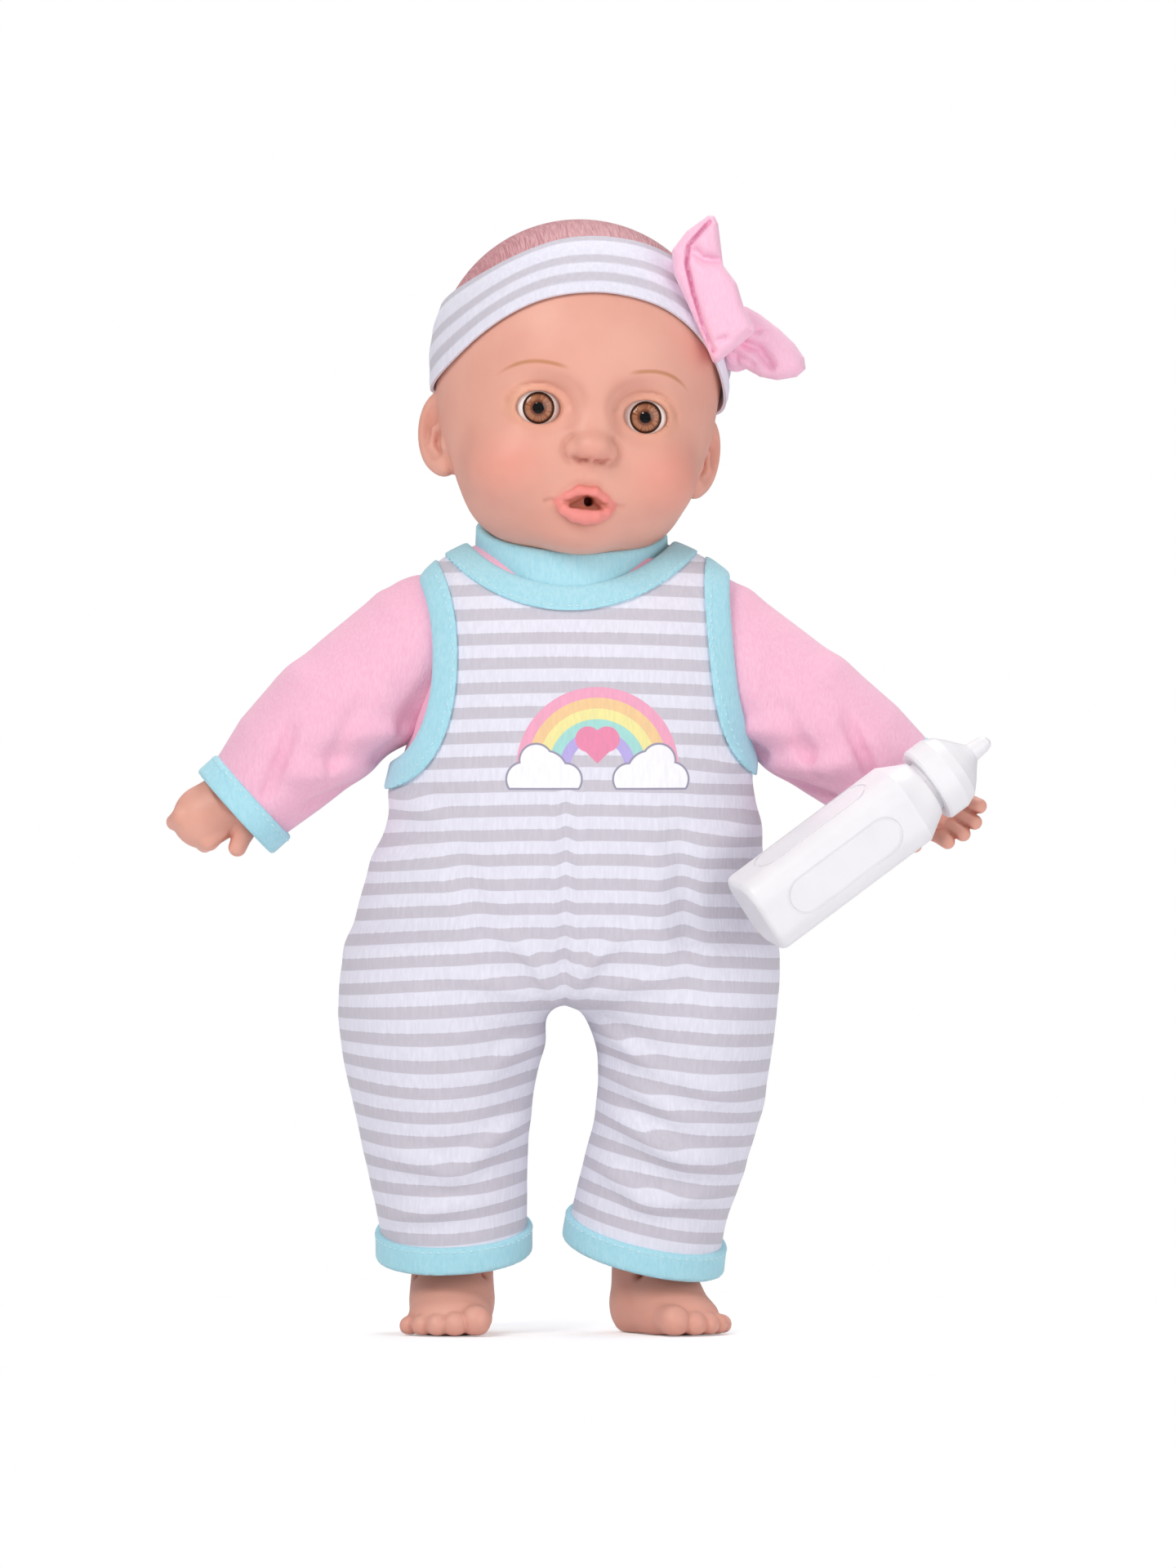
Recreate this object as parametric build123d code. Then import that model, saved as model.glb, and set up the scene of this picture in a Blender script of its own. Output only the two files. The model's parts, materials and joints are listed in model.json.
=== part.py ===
from build123d import *
import math
import os

# Interactive soft-bodied baby doll, dressed, standing on its soles, with its toy bottle in the left hand.
# Millimetres. +Z runs from the soles to the crown, the doll faces -Y and its left side is +X.
# Everything is modelled about the body's middle and moved at the end, so that the origin lies
# at sole level under the middle of the whole doll.

# ---------------------------------------------------------------- clearances and cloth
fit = 0.4                # between pieces that move past each other
slip = 0.15              # between pieces that only seat on each other
cloth = 1.2              # romper knit
shirt_cloth = 1.0        # undershirt knit
binding = 1.4            # folded edge binding
tape = 0.5               # each half of the hook-and-loop closure
vinyl = 2.2              # wall of the moulded vinyl parts

# ---------------------------------------------------------------- trunk
hip_height = 90.0        # hip pivots above the soles
hip_radius = 30.5        # rounded top of each trouser leg
hip_round = 12.0
crotch_half = 3.0        # half of the gap between the legs at the hips
crotch_z = 104.0
hip_half_width = 70.0
waist_half_width = 60.5
chest_half_width = 49.0
shoulder_half_width = 45.5
belly_half_depth = 37.0
chest_half_depth = 32.0
neckline_radius, neckline_z = 38.0, 239.5
binding_width = 8.0
collar_half_width = 34.0
collar_half_depth = 28.6
trunk_top = 247.0
trunk_low = hip_height + hip_radius + fit

# ---------------------------------------------------------------- neck and head
neck_x, neck_y = 2.0, 3.0
neck_radius = 18.0
neck_flange = 2.0        # how far the flange stands out of the neck
neck_pocket_radius = 25.0
nod_height = 238.0
collar_height = 3.8
head_x, head_y, head_z = 3.5, 0.0, 302.0
head_roll, head_yaw = 5.0, 8.0
skull_half = (46.0, 49.0, 46.0)
skull_rise = 8.0
cheek_half = (44.0, 40.0, 24.0)
cheek_at = (0.0, -4.0, -14.0)
jaw_half = (39.0, 36.0, 30.0)
jaw_at = (0.0, -8.0, -22.0)
head_wall = 3.0
ear_half = (6.5, 6.0, 13.0)
ear_at = (45.5, 4.0, -18.0)
eye_at = (17.2, -33.0, -7.5)
eye_radius = 8.5
eye_opening = 6.6
iris_radius = 5.3
iris_depth = 2.6         # how far the iris lies behind the eye's front
mouth_level = -35.0      # below the head's middle
mouth_front = -44.5
mouth_bore = 3.0
mouth_length = 14.0
lip_radius = 6.5

# ---------------------------------------------------------------- headband and bow
band_tilt = 38.0
band_edges = ((32.0, -42.5, 31.0), (41.0, -24.0, 48.0))   # slope, then y and z at the brow, of each edge
band_cloth = 1.5

# ---------------------------------------------------------------- arms
shoulder_z = 222.0
shoulder_inset = 1.5     # pivot inside the trunk's side
arm_droop = {"right": 42.0, "left": 38.0}
sleeve_root, sleeve_mid, sleeve_end = 20.5, 21.8, 17.3
sleeve_length = 75.0
cuff_width = 8.0
arm_groove_radius = 9.5
arm_flange_radius = 11.5
arm_tie_at = 35.0
arm_radius, wrist_radius = 12.5, 9.0
palm_at = 91.0

# ---------------------------------------------------------------- legs
ankle_x = {"right": -36.5, "left": 27.0}
foot_yaw = {"right": -4.0, "left": 34.0}
leg_root, leg_end = 31.0, 24.0
leg_cuff_z = 20.0
leg_cuff_width = 10.0
shin_radius = 13.5
shin_groove_radius = 11.0
shin_groove_z = (44.0, 50.0)
shin_top = 54.0
foot_half = (14.5, 21.0, 12.0)
foot_ahead = 7.0

# ---------------------------------------------------------------- sound box
case_width, case_height, case_depth = 54.0, 64.0, 26.0
case_z = 161.0
case_cover = 12.0        # box's back face to the romper's back
case_wall = 1.8
case_corner = 5.0
boss_inset = 5.6
boss_radius = 3.3
screw_radius = 1.25
screw_head = 2.4
speaker_radius, speaker_z = 14.0, -13.0
button_radius, button_z = 11.0, 16.0
button_travel = 2.5
tower_length = 14.0      # guide that brings the button up to the tummy
cell_radius, cell_length = 5.25, 44.5
board_thick = 1.2
switch_travel = 3.0

# ---------------------------------------------------------------- bottle
bottle_foot = (59.5, -45.0, 134.5)
bottle_heading = (0.79, 0.175, 0.585)
bottle_width, bottle_corner, bottle_turn = 26.0, 8.0, 20.0
bottle_shoulder, bottle_neck_z = 60.0, 69.0
bottle_neck_radius = 8.5
bottle_wall = 1.3
cap_radius, cap_height = 12.8, 17.0
nipple_radius, nipple_length = 2.6, 8.0

# ================================================================ helpers


def merged(shapes):
    """One fused shape."""
    whole = shapes[0]
    for shape in shapes[1:]:
        whole = whole + shape
    return whole


def ellipsoid(half, at=(0, 0, 0)):
    """A ball stretched to three half-sizes."""
    return Pos(*at) * scale(Sphere(1.0), by=half)


def turned(profile):
    """A solid turned about Z from (height, radius) points."""
    points = [(0, profile[0][0])] + [(r, t) for t, r in profile] + [(0, profile[-1][0])]
    return revolve(Plane.XZ * make_face(Polyline(*points, close=True)), Axis.Z)


def tube(inner, outer, low, high):
    """A ring about Z."""
    height = high - low
    at = Pos(0, 0, (low + high) / 2)
    return at * (Cylinder(outer, height) - Cylinder(inner, height + 1))


def capsule(start, end, radius):
    """A rounded rod between two points."""
    a, b = Vector(*start), Vector(*end)
    rod = Plane(origin=a, z_dir=b - a) * Pos(0, 0, (b - a).length / 2) * Cylinder(radius, (b - a).length)
    return rod + Pos(*start) * Sphere(radius) + Pos(*end) * Sphere(radius)


def coil(radius, wire, height, turns):
    """A round-wire compression spring about Z, standing on Z = 0."""
    path = Helix(pitch=height / turns, height=height, radius=radius)
    section = Plane(origin=path @ 0, z_dir=path % 0) * Circle(wire)
    return sweep(section, path=path)


# ================================================================ trunk and its clothes

trunk_span = trunk_top - trunk_low
# share of the trunk's height, half width, half depth
trunk_rows = [
    (0.00, hip_half_width, belly_half_depth * 0.90),
    (0.17, hip_half_width * 0.95, belly_half_depth * 0.97),
    (0.36, waist_half_width, belly_half_depth),
    (0.52, (waist_half_width + chest_half_width) / 2, (belly_half_depth + chest_half_depth) / 2),
    (0.68, chest_half_width, chest_half_depth),
    (0.81, shoulder_half_width, (chest_half_depth + collar_half_depth) / 2),
    (1.00, collar_half_width, collar_half_depth),
]


def trunk(grow, low=0.0, high=0.0):
    """The trunk's outline grown by a thickness, its ends trimmed or extended by low and high."""
    rows = []
    for share, half_width, half_depth in trunk_rows:
        z = trunk_low + share * trunk_span
        rows.append(Pos(0, 0, z) * Ellipse(half_width + grow, half_depth + grow))
    body = loft(rows)
    if low or high:
        tall = trunk_span - low - high
        keep = Pos(0, 0, trunk_low + low + tall / 2) * Box(300, 300, tall)
        body = body & keep
    return body


shoulder_x = shoulder_half_width - shoulder_inset
hip_x = (hip_half_width + crotch_half) / 2
hip_half_length = (hip_half_width - crotch_half) / 2
case_back_y = belly_half_depth - case_cover
case_front_y = case_back_y - case_depth
split_y = case_front_y + case_depth / 2
button_proud = 3.0       # button's face beyond its guide
lead_y = 5.0
lead_gap = 8.0               # left free at the neck's hinge, where the real wires flex
plug = (5.0, 3.4, 4.4)


def side_of(name):
    return -1 if name == "right" else 1


def arm_plane(name):
    """Z along the arm, X towards the body and down."""
    side = side_of(name)
    droop = math.radians(arm_droop[name])
    along = (side * math.cos(droop), 0, -math.sin(droop))
    inward = (-side * math.sin(droop), 0, -math.cos(droop))
    return Plane(origin=(side * shoulder_x, 0, shoulder_z), x_dir=inward, z_dir=along)


def arm_sweep(name, room):
    """Where the sleeve goes as the arm swings about the X axis: a turned shape that the trunk leaves free."""
    side = side_of(name)
    droop = math.radians(arm_droop[name])
    reach, radius = sleeve_length * 0.6, sleeve_mid + room
    ahead, out = math.cos(droop), math.sin(droop)
    far = (reach * ahead, reach * out)
    edge = (far[0] - radius * out, far[1] + radius * ahead)
    near = (-radius * out, radius * ahead)
    profile = make_face(
        Polyline((0, 0), near, edge, (far[0] + radius, edge[1]), (far[0] + radius, 0), close=True)
    )
    cone = revolve(profile, Axis.X)
    ball = Sphere(sleeve_root + room)
    shape = cone + ball
    if side < 0:
        shape = mirror(shape, about=Plane.YZ)
    return Pos(side * shoulder_x, 0, shoulder_z) * shape


sweeps = merged([arm_sweep("right", fit), arm_sweep("left", fit)])
neck_room = Pos(neck_x, neck_y, trunk_top - 8.5) * Cylinder(neck_pocket_radius, 17.0 + 2)


def stuffed_trunk():
    """Cloth trunk packed with fibre, with pockets for the neck and the sound box."""
    body = trunk(-(cloth + 2 * tape + shirt_cloth + 2 * fit), low=cloth + slip)
    room = 0.3
    back = belly_half_depth + 5
    depth = back - case_front_y + room
    pocket = Pos(0, case_front_y - room + depth / 2, case_z) * Box(
        case_width + 2 * room, depth, case_height + 2 * room
    )
    reach = tower_length + button_proud + 1
    button = Pos(0, case_front_y - reach / 2, case_z + button_z) * Rot(90, 0, 0) * Cylinder(
        button_radius + 2.5, reach
    )
    lead = Pos(neck_x, lead_y, (trunk_top + case_z) / 2) * Cylinder(2.5, trunk_top - case_z)
    return body - pocket - button - lead - neck_room - sweeps




def shirt_trunk():
    """The undershirt's trunk, under the romper."""
    outer = trunk(-(cloth + 2 * tape + fit))
    inner = trunk(-(cloth + 2 * tape + fit + shirt_cloth))
    low = trunk_span * 0.25
    shell = (outer - inner) & (Pos(0, 0, trunk_low + low + 100) * Box(300, 300, 200))
    window = Pos(0, belly_half_depth, case_z) * Box(case_width, belly_half_depth, case_height)
    return shell - window - neck_room - sweeps


def romper_trunk():
    """The romper above the legs, with its closed seat and the web between the legs."""
    shell = trunk(0) - trunk(-cloth, low=cloth)
    web_tall = trunk_low + cloth / 2 - crotch_z
    web = Pos(0, 0, crotch_z + web_tall / 2) * Box(2 * (crotch_half - fit), hip_radius * 1.7, web_tall)
    slot = Pos(0, belly_half_depth, trunk_low + trunk_span * 0.6) * Box(1.0, belly_half_depth, trunk_span)
    return shell + web - slot - neck_room - sweeps - scoop(binding_width / 2)


def scoop(grow):
    """The round of the neckline, front and back, grown by a width."""
    centre = neckline_z + neckline_radius
    return Pos(0, 0, centre) * Rot(90, 0, 0) * Cylinder(neckline_radius + grow, 200)


def neckline_zone(grow):
    return scoop(binding_width + grow) + Pos(0, 0, trunk_top) * Box(200, 200, binding_width + 2 * grow)


def neckline_binding():
    """Folded binding round the romper's neck opening."""
    skin = trunk(binding) - trunk(slip)
    return (skin & neckline_zone(0)) - scoop(0) - neck_room - sweeps


def arm_ring(name, inner, outer, width):
    """A ring about the shoulder's X axis."""
    side = side_of(name)
    ring = Cylinder(outer, width) - Cylinder(inner, width + 2)
    return Pos(side * shoulder_x, 0, shoulder_z) * Rot(0, 90, 0) * ring


def armhole_binding(name):
    """Folded binding round one arm opening of the romper."""
    side = side_of(name)
    skin = trunk(binding) - trunk(slip)
    ring = arm_ring(name, sleeve_mid + 1.2, sleeve_mid + 8, 60)
    half = Pos(side * 100, 0, shoulder_z) * Box(200, 200, 200)
    return (skin & ring & half) - sweeps - neckline_zone(slip)


def closure(inner_grow, outer_grow, half_width):
    """One tape of the hook-and-loop closure down the romper's back."""
    skin = trunk(outer_grow) - trunk(inner_grow)
    tall = trunk_span * 0.7
    strip = Pos(0, belly_half_depth, trunk_low + trunk_span * 0.15 + tall / 2) * Box(
        2 * half_width, belly_half_depth, tall
    )
    return (skin & strip) - neck_room


def mock_neck():
    """The undershirt's stand-up collar."""
    inner = neck_pocket_radius + 1.2
    return Pos(neck_x, neck_y, 0) * tube(inner, inner + 2.2, trunk_top + slip, trunk_top + collar_height)


# ================================================================ head

turn = Rot(0, 0, head_yaw) * Rot(0, head_roll, 0)
head_place = Pos(head_x, head_y, head_z) * turn


def skull(shrink):
    """Skull, cheeks and jaw, taken in by a thickness."""
    lumps = [(skull_half, (0, 0, skull_rise)), (cheek_half, cheek_at), (jaw_half, jaw_at)]
    return merged([ellipsoid(tuple(h - shrink for h in half), at) for half, at in lumps])


def mirrored(shape):
    return mirror(shape, about=Plane.YZ)


def eye_seat(room):
    """Balls where the two eyes sit."""
    ball = Pos(*eye_at) * Sphere(eye_radius + room)
    return ball + mirrored(ball)


def head_shell():
    """Rotocast vinyl head with ears, eye openings, mouth tube and grooved neck."""
    ear = ellipsoid(ear_half, ear_at)
    muzzle = Pos(0, mouth_front + 4, mouth_level) * Rot(90, 0, 0) * Cylinder(lip_radius, 8)
    outer = skull(0) + ear + mirrored(ear) + muzzle
    shell = outer - skull(head_wall)
    mouth_tube = Pos(0, mouth_front + mouth_length / 2, mouth_level) * Rot(90, 0, 0) * Cylinder(
        mouth_bore + vinyl, mouth_length
    )
    bore = Pos(0, mouth_front + mouth_length / 2, mouth_level) * Rot(90, 0, 0) * Cylinder(
        mouth_bore, mouth_length + 8
    )
    opening = Pos(eye_at[0], eye_at[1] - 8, eye_at[2]) * Rot(90, 0, 0) * Cylinder(eye_opening, 16)
    shell = shell + mouth_tube - bore - opening - mirrored(opening) - eye_seat(slip)
    shell = head_place * shell
    neck_top = head_z + jaw_at[2] - jaw_half[2] + 6
    neck = turned(
        [
            (nod_height - 2, neck_radius + neck_flange),
            (nod_height + 2, neck_radius + neck_flange),
            (nod_height + 2, neck_radius),
            (neck_top, neck_radius),
        ]
    )
    bore_down = Pos(0, 0, neck_top - 10) * Cylinder(neck_radius - head_wall, 60)
    inside = head_place * skull(head_wall)
    place = Pos(neck_x, neck_y, 0)
    return (shell + (place * neck - inside)) - place * bore_down


def eye_ball(side):
    """White of one eye, with a flat seat for the iris."""
    ball = Sphere(eye_radius)
    seat = Pos(0, -eye_radius, 0) * Rot(90, 0, 0) * Cylinder(iris_radius + 0.05, 2 * iris_depth)
    return head_place * Pos(side * eye_at[0], eye_at[1], eye_at[2]) * (ball - seat)


def eye_iris(side):
    """Printed iris disc with its pupil."""
    disc = Pos(0, -eye_radius + iris_depth - 0.3, 0) * Rot(90, 0, 0) * Cylinder(iris_radius - 0.05, 0.6)
    return head_place * Pos(side * eye_at[0], eye_at[1], eye_at[2]) * disc


def eye_lens(side):
    """Clear dome over the iris."""
    rod = Pos(0, -eye_radius + (iris_depth - 0.65) / 2, 0) * Rot(90, 0, 0) * Cylinder(
        iris_radius - 0.05, iris_depth - 0.65
    )
    return head_place * Pos(side * eye_at[0], eye_at[1], eye_at[2]) * (Sphere(eye_radius) & rod)


switch_y = mouth_front + mouth_length


def mouth_plunger():
    """Push rod that the bottle's teat presses."""
    rod = Pos(0, switch_y + 4.0, mouth_level) * Rot(90, 0, 0) * Cylinder(2.0, 6.0)
    disc = Pos(0, switch_y + 1.3, mouth_level) * Rot(90, 0, 0) * Cylinder(2.6, 1.6)
    return head_place * (rod + disc)


def lead_run(points, plug_z):
    """Round lead along these points, ending in a small plug at this height."""
    line = FilletPolyline(*points, radius=4.0) if len(points) > 2 else Polyline(*points)
    cord = sweep(Plane(origin=line @ 0, z_dir=line % 0) * Circle(1.0), path=line)
    return merged([cord, Pos(neck_x, lead_y, plug_z) * Box(*plug)])


def mouth_switch():
    """Switch body behind the mouth, clipped to the mouth tube, with its moulded-on lead and plug."""
    body = Pos(0, switch_y + 9.0, mouth_level) * Box(12, 9, 10)
    hole = Pos(0, switch_y + 6.0, mouth_level) * Rot(90, 0, 0) * Cylinder(2.0 + slip, 7)
    arms = Pos(0, switch_y + 1.5, mouth_level) * (Box(12, 8, 4) - Box(12 - 2 * 0.7, 12, 6))
    start = (head_place * Pos(0, switch_y + 12.0, mouth_level)).position
    plug_z = nod_height + lead_gap / 2 + plug[2] / 2
    tail = lead_run([start, Vector(neck_x, lead_y, start.Z), Vector(neck_x, lead_y, plug_z)], plug_z)
    return merged([head_place * (body + arms - hole), tail])


def mouth_lead():
    """Sound box's half of the mouth lead; the two plugs stop either side of the neck's hinge."""
    plug_z = nod_height - lead_gap / 2 - plug[2] / 2
    down = case_z + case_height / 2 - 2.5
    return lead_run([Vector(neck_x, lead_y, down), Vector(neck_x, lead_y, plug_z)], plug_z)


# ================================================================ neck joint


def neck_sleeve():
    """Cloth neck of the trunk, drawn into the head's groove."""
    outer = neck_radius + neck_flange + 1.4
    body = tube(neck_radius + neck_flange + fit, outer, nod_height - 2, nod_height + 10)
    lip = tube(neck_radius + fit, outer, nod_height + 2 + fit, nod_height + 7)
    return Pos(neck_x, neck_y, 0) * (body + lip)


def cable_tie(inner, low, width=3.0, thick=1.3):
    """Nylon tie with its ratchet block."""
    ring = tube(inner, inner + thick, low, low + width)
    block = Pos(0, inner + 1.1, low + width / 2) * Box(4.4, 2.0, width)
    return ring + (block - Cylinder(inner, 500))


# ================================================================ headband and bow

band_frame = Rot(-band_tilt, 0, 0)
band_half = (
    skull_half[0] + fit,
    1 / math.hypot(math.cos(math.radians(band_tilt)) / skull_half[1], math.sin(math.radians(band_tilt)) / skull_half[2]) + fit,
)
band_centre = skull_rise * math.sin(math.radians(band_tilt))


def oval(grow, low, high):
    """An upright oval block in the band's own frame."""
    face = Pos(0, -band_centre, low) * Ellipse(band_half[0] + grow, band_half[1] + grow)
    return extrude(face, high - low)


def edge_block(edge, above):
    """Everything above or below one edge of the band."""
    slope, y, z = edge
    return Pos(0, y, z) * Rot(-slope, 0, 0) * Pos(0, 0, 100 if above else -100) * Box(300, 300, 200)


def headband():
    """Knit band round the skull, broad at the brow and narrow at the nape."""
    ring = band_frame * (oval(band_cloth, -30, 40) - oval(0, -31, 41))
    return head_place * (ring & edge_block(band_edges[0], True) & edge_block(band_edges[1], False))


def bow_clear():
    return band_frame * oval(band_cloth + slip, -60, 70)


knot_at = (42.5, -21.0, 23.0)
knot_half = (8.0, 7.0, 9.0)


def bow_knot():
    """Wrapped middle of the bow."""
    return head_place * (ellipsoid(knot_half, knot_at) - bow_clear())


def bow_loop(at, half, tilt):
    """One stuffed loop of the bow."""
    knot = ellipsoid(tuple(h + slip for h in knot_half), knot_at)
    loop = Pos(*at) * Rot(*tilt) * ellipsoid(half)
    return head_place * (loop - bow_clear() - knot)


# ================================================================ arms


def arm_shell(grow, extra=0.0):
    """The sleeve's shape about the arm's own axis."""
    body = turned(
        [(0, sleeve_root + grow), (30, sleeve_mid + grow), (sleeve_length + extra, sleeve_end + grow)]
    )
    return body + Sphere(sleeve_root + grow)


def sleeve():
    return arm_shell(0) - arm_shell(-shirt_cloth, extra=1.0) - Pos(0, 0, sleeve_length + 20) * Cylinder(60, 40)


def sleeve_cuff():
    return tube(sleeve_end - 1.6, sleeve_end + 0.6, sleeve_length + slip, sleeve_length + cuff_width)


def upper_arm():
    """Stuffed cloth upper arm, closed over the vinyl arm's flange."""
    neck = arm_flange_radius + 1.2
    root = sleeve_root - shirt_cloth - fit
    body = turned([(0, root), (arm_tie_at - 11, root + 0.3), (arm_tie_at - 3, neck), (arm_tie_at + 5, neck)])
    body = body + Sphere(root)
    flange = arm_flange_radius + fit
    groove = arm_groove_radius + fit
    bore = turned([(arm_tie_at - 7.5, flange), (arm_tie_at - 2.6, flange), (arm_tie_at - 2.6, groove), (arm_tie_at + 6, groove)])
    return body - bore


def arm_tie():
    return cable_tie(arm_flange_radius + 1.2 + slip, arm_tie_at)


def hand(name):
    """Palm, curled fingers and thumb about the arm's own axis; the left ones close round the bottle's far edge."""
    holding = name == "left"
    ahead = -6.0 if holding else 0.0
    curl, reach = (-17.0, 14.0) if holding else (-4.5, 9.5)
    parts = [ellipsoid((10.0, 8.0, 12.0), (-0.5, ahead, palm_at))]
    for place in (-7.5, -3.0, 1.5, 5.5):
        tip = palm_at + reach - abs(place + 2.0) * 0.4
        parts.append(capsule((place, ahead, palm_at + 6), (place - 0.3, curl, tip), 3.0))
    parts.append(capsule((6.5, ahead, palm_at - 3), (10.5, ahead, palm_at + 5.5), 3.0))
    return merged(parts)


def forearm(name):
    """Hollow vinyl arm with its hand."""
    outer = turned(
        [
            (arm_tie_at - 7, arm_flange_radius),
            (arm_tie_at - 3, arm_flange_radius),
            (arm_tie_at - 3, arm_groove_radius),
            (arm_tie_at + 5.6, arm_groove_radius),
            (arm_tie_at + 9, arm_radius),
            (arm_tie_at + 25, arm_radius),
            (palm_at - 7, wrist_radius),
        ]
    )
    inner = turned(
        [
            (arm_tie_at - 8, arm_groove_radius - vinyl),
            (arm_tie_at + 6, arm_groove_radius - vinyl),
            (arm_tie_at + 10, arm_radius - vinyl),
            (arm_tie_at + 25, arm_radius - vinyl),
            (palm_at - 12, wrist_radius - vinyl),
        ]
    )
    return outer + hand(name) - inner


# ================================================================ legs


def hip_point(name):
    return Vector(side_of(name) * hip_x, 0, hip_height)


def leg_plane(name):
    """Z from the hip down to the ankle."""
    ankle = Vector(ankle_x[name], 0, leg_cuff_z)
    return Plane(origin=hip_point(name), x_dir=(0, 1, 0), z_dir=ankle - hip_point(name))


def leg_run(name):
    return (Vector(ankle_x[name], 0, leg_cuff_z) - hip_point(name)).length


def leg_solid(name, grow, extra=0.0):
    """The trouser leg's shape: a drum about the hip axis and a cone down to the ankle."""
    run = leg_run(name) - leg_cuff_width
    drum = Rot(0, 90, 0) * Cylinder(hip_radius + grow, 2 * (hip_half_length + grow))
    ends = drum.edges().filter_by(GeomType.CIRCLE).sort_by(Axis.X)
    outer_end = ends[-1] if side_of(name) > 0 else ends[0]
    drum = Pos(*hip_point(name)) * fillet(outer_end, hip_round + grow)
    shaft = turned([(0, leg_root - 0.6 + grow), (run + extra, leg_end + grow)])
    return drum + leg_plane(name).location * shaft


def romper_leg(name):
    return leg_solid(name, 0) - leg_solid(name, -cloth, extra=1.0)


def leg_cuff(name):
    run = leg_run(name)
    return leg_plane(name).location * tube(leg_end - 2.4, leg_end + 0.8, run - leg_cuff_width + slip, run)


def shin_profile(grow):
    low, high = shin_groove_z
    return [
        (low, shin_groove_radius + grow),
        (high - grow, shin_groove_radius + grow),
        (high - grow, shin_radius + grow),
        (shin_top + grow, shin_radius + grow),
    ]


def thigh(name):
    """Stuffed cloth leg, closed over the vinyl leg's flange."""
    low = shin_groove_z[0] + fit
    body = leg_solid(name, -(cloth + fit)) & (Pos(0, 0, 62 + 150) * Box(400, 400, 300))
    neck = Pos(ankle_x[name], 0, 0) * turned([(low, shin_radius + 2.5), (64, shin_radius + 2.5)])
    bore = Pos(ankle_x[name], 0, 0) * (turned(shin_profile(fit)) - Pos(0, 0, low - 10) * Box(80, 80, 8))
    return body + neck - bore


def leg_tie(name):
    return Pos(ankle_x[name], 0, 0) * cable_tie(shin_radius + 2.5 + slip, shin_groove_z[0] + 1.5)


def shin(name):
    """Hollow vinyl lower leg with its foot."""
    side = side_of(name)
    outer = turned([(6, shin_radius), (shin_groove_z[0] - 2, shin_radius), (shin_groove_z[0] - 2, shin_groove_radius)] + shin_profile(0))
    inner = turned([(14, shin_radius - 3.5), (shin_top + 1, shin_groove_radius - vinyl)])
    foot = ellipsoid(foot_half, (0, -foot_ahead, 7.0))
    toes = []
    for number in range(5):
        spread = side * (number - 2) * 5.4
        radius = 4.6 - 0.45 * number
        ahead = foot_ahead + foot_half[1] - 3.0 - 0.9 * (number - 0.5) ** 2
        toes.append(Pos(spread, -ahead, 0.8 * radius) * Sphere(radius))
    ground = Pos(0, 0, -50) * Box(200, 200, 100)
    whole = Rot(0, 0, foot_yaw[name]) * (merged([foot] + toes) - ground) + outer
    return Pos(ankle_x[name], 0, 0) * (whole - inner)


# ================================================================ sound box

case_place = Pos(0, split_y, case_z)
corners = [
    (sx * (case_width / 2 - boss_inset), sz * (case_height / 2 - boss_inset)) for sx in (-1, 1) for sz in (-1, 1)
]


def rod_y(radius, length, x=0.0, y=0.0, z=0.0):
    """A rod along Y whose middle is at x, y, z in the sound box's frame."""
    return Pos(x, y, z) * Rot(90, 0, 0) * Cylinder(radius, length)


def half_case(front):
    """One half of the sound box as an open tray, its mouth on the parting plane."""
    depth = case_depth / 2
    way = -1 if front else 1
    face = RectangleRounded(case_width, case_height, case_corner)
    block = Plane.XZ * face
    outer = extrude(block, -way * depth, dir=(0, -1, 0))
    hollow = RectangleRounded(case_width - 2 * case_wall, case_height - 2 * case_wall, case_corner - case_wall)
    inner = extrude(Plane.XZ * hollow, -way * (depth - case_wall), dir=(0, -1, 0))
    shell = outer - inner
    bosses = [rod_y(boss_radius, depth, x, way * depth / 2, z) for x, z in corners]
    return merged([shell] + bosses)


def case_front():
    """Front half, with the speaker grille and the button's hole."""
    depth = case_depth / 2
    tower_y = -depth - tower_length / 2
    shell = half_case(True) + rod_y(button_radius + 2.0, tower_length, 0, tower_y, button_z)
    cuts = [rod_y(screw_radius + 0.05, depth - 2, x, -(depth - 2) / 2, z) for x, z in corners]
    cuts.append(rod_y(button_radius + 0.25, tower_length + 8, 0, tower_y, button_z))
    cuts.append(Pos(neck_x, lead_y - split_y, case_height / 2) * Cylinder(1.4, 8))
    cuts.append(rod_y(1.3, 8, 0, -depth, speaker_z))
    for ring in (1, 2):
        for step in range(6 * ring):
            angle = 2 * math.pi * step / (6 * ring)
            x = ring * 4.6 * math.cos(angle)
            z = speaker_z + ring * 4.6 * math.sin(angle)
            cuts.append(rod_y(1.3, 8, x, -depth, z))
    return case_place * (shell - merged(cuts))


bay_width = 4 * cell_radius + 2.2
bay_height = cell_length + 5.5
bay_depth = 2 * cell_radius + 0.6 + case_wall
lid_low, lid_high = -bay_height / 2 - 2.5, bay_height / 2 + 5.0
lid_screw_z = bay_height / 2 + 2.8


def lid_block(grow, thick):
    """The lid's outline, its outside flush with the box."""
    tall = lid_high - lid_low + 2 * grow
    return Pos(0, case_depth / 2 - thick / 2, (lid_low + lid_high) / 2) * Box(bay_width + 5 + 2 * grow, thick, tall)


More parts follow.
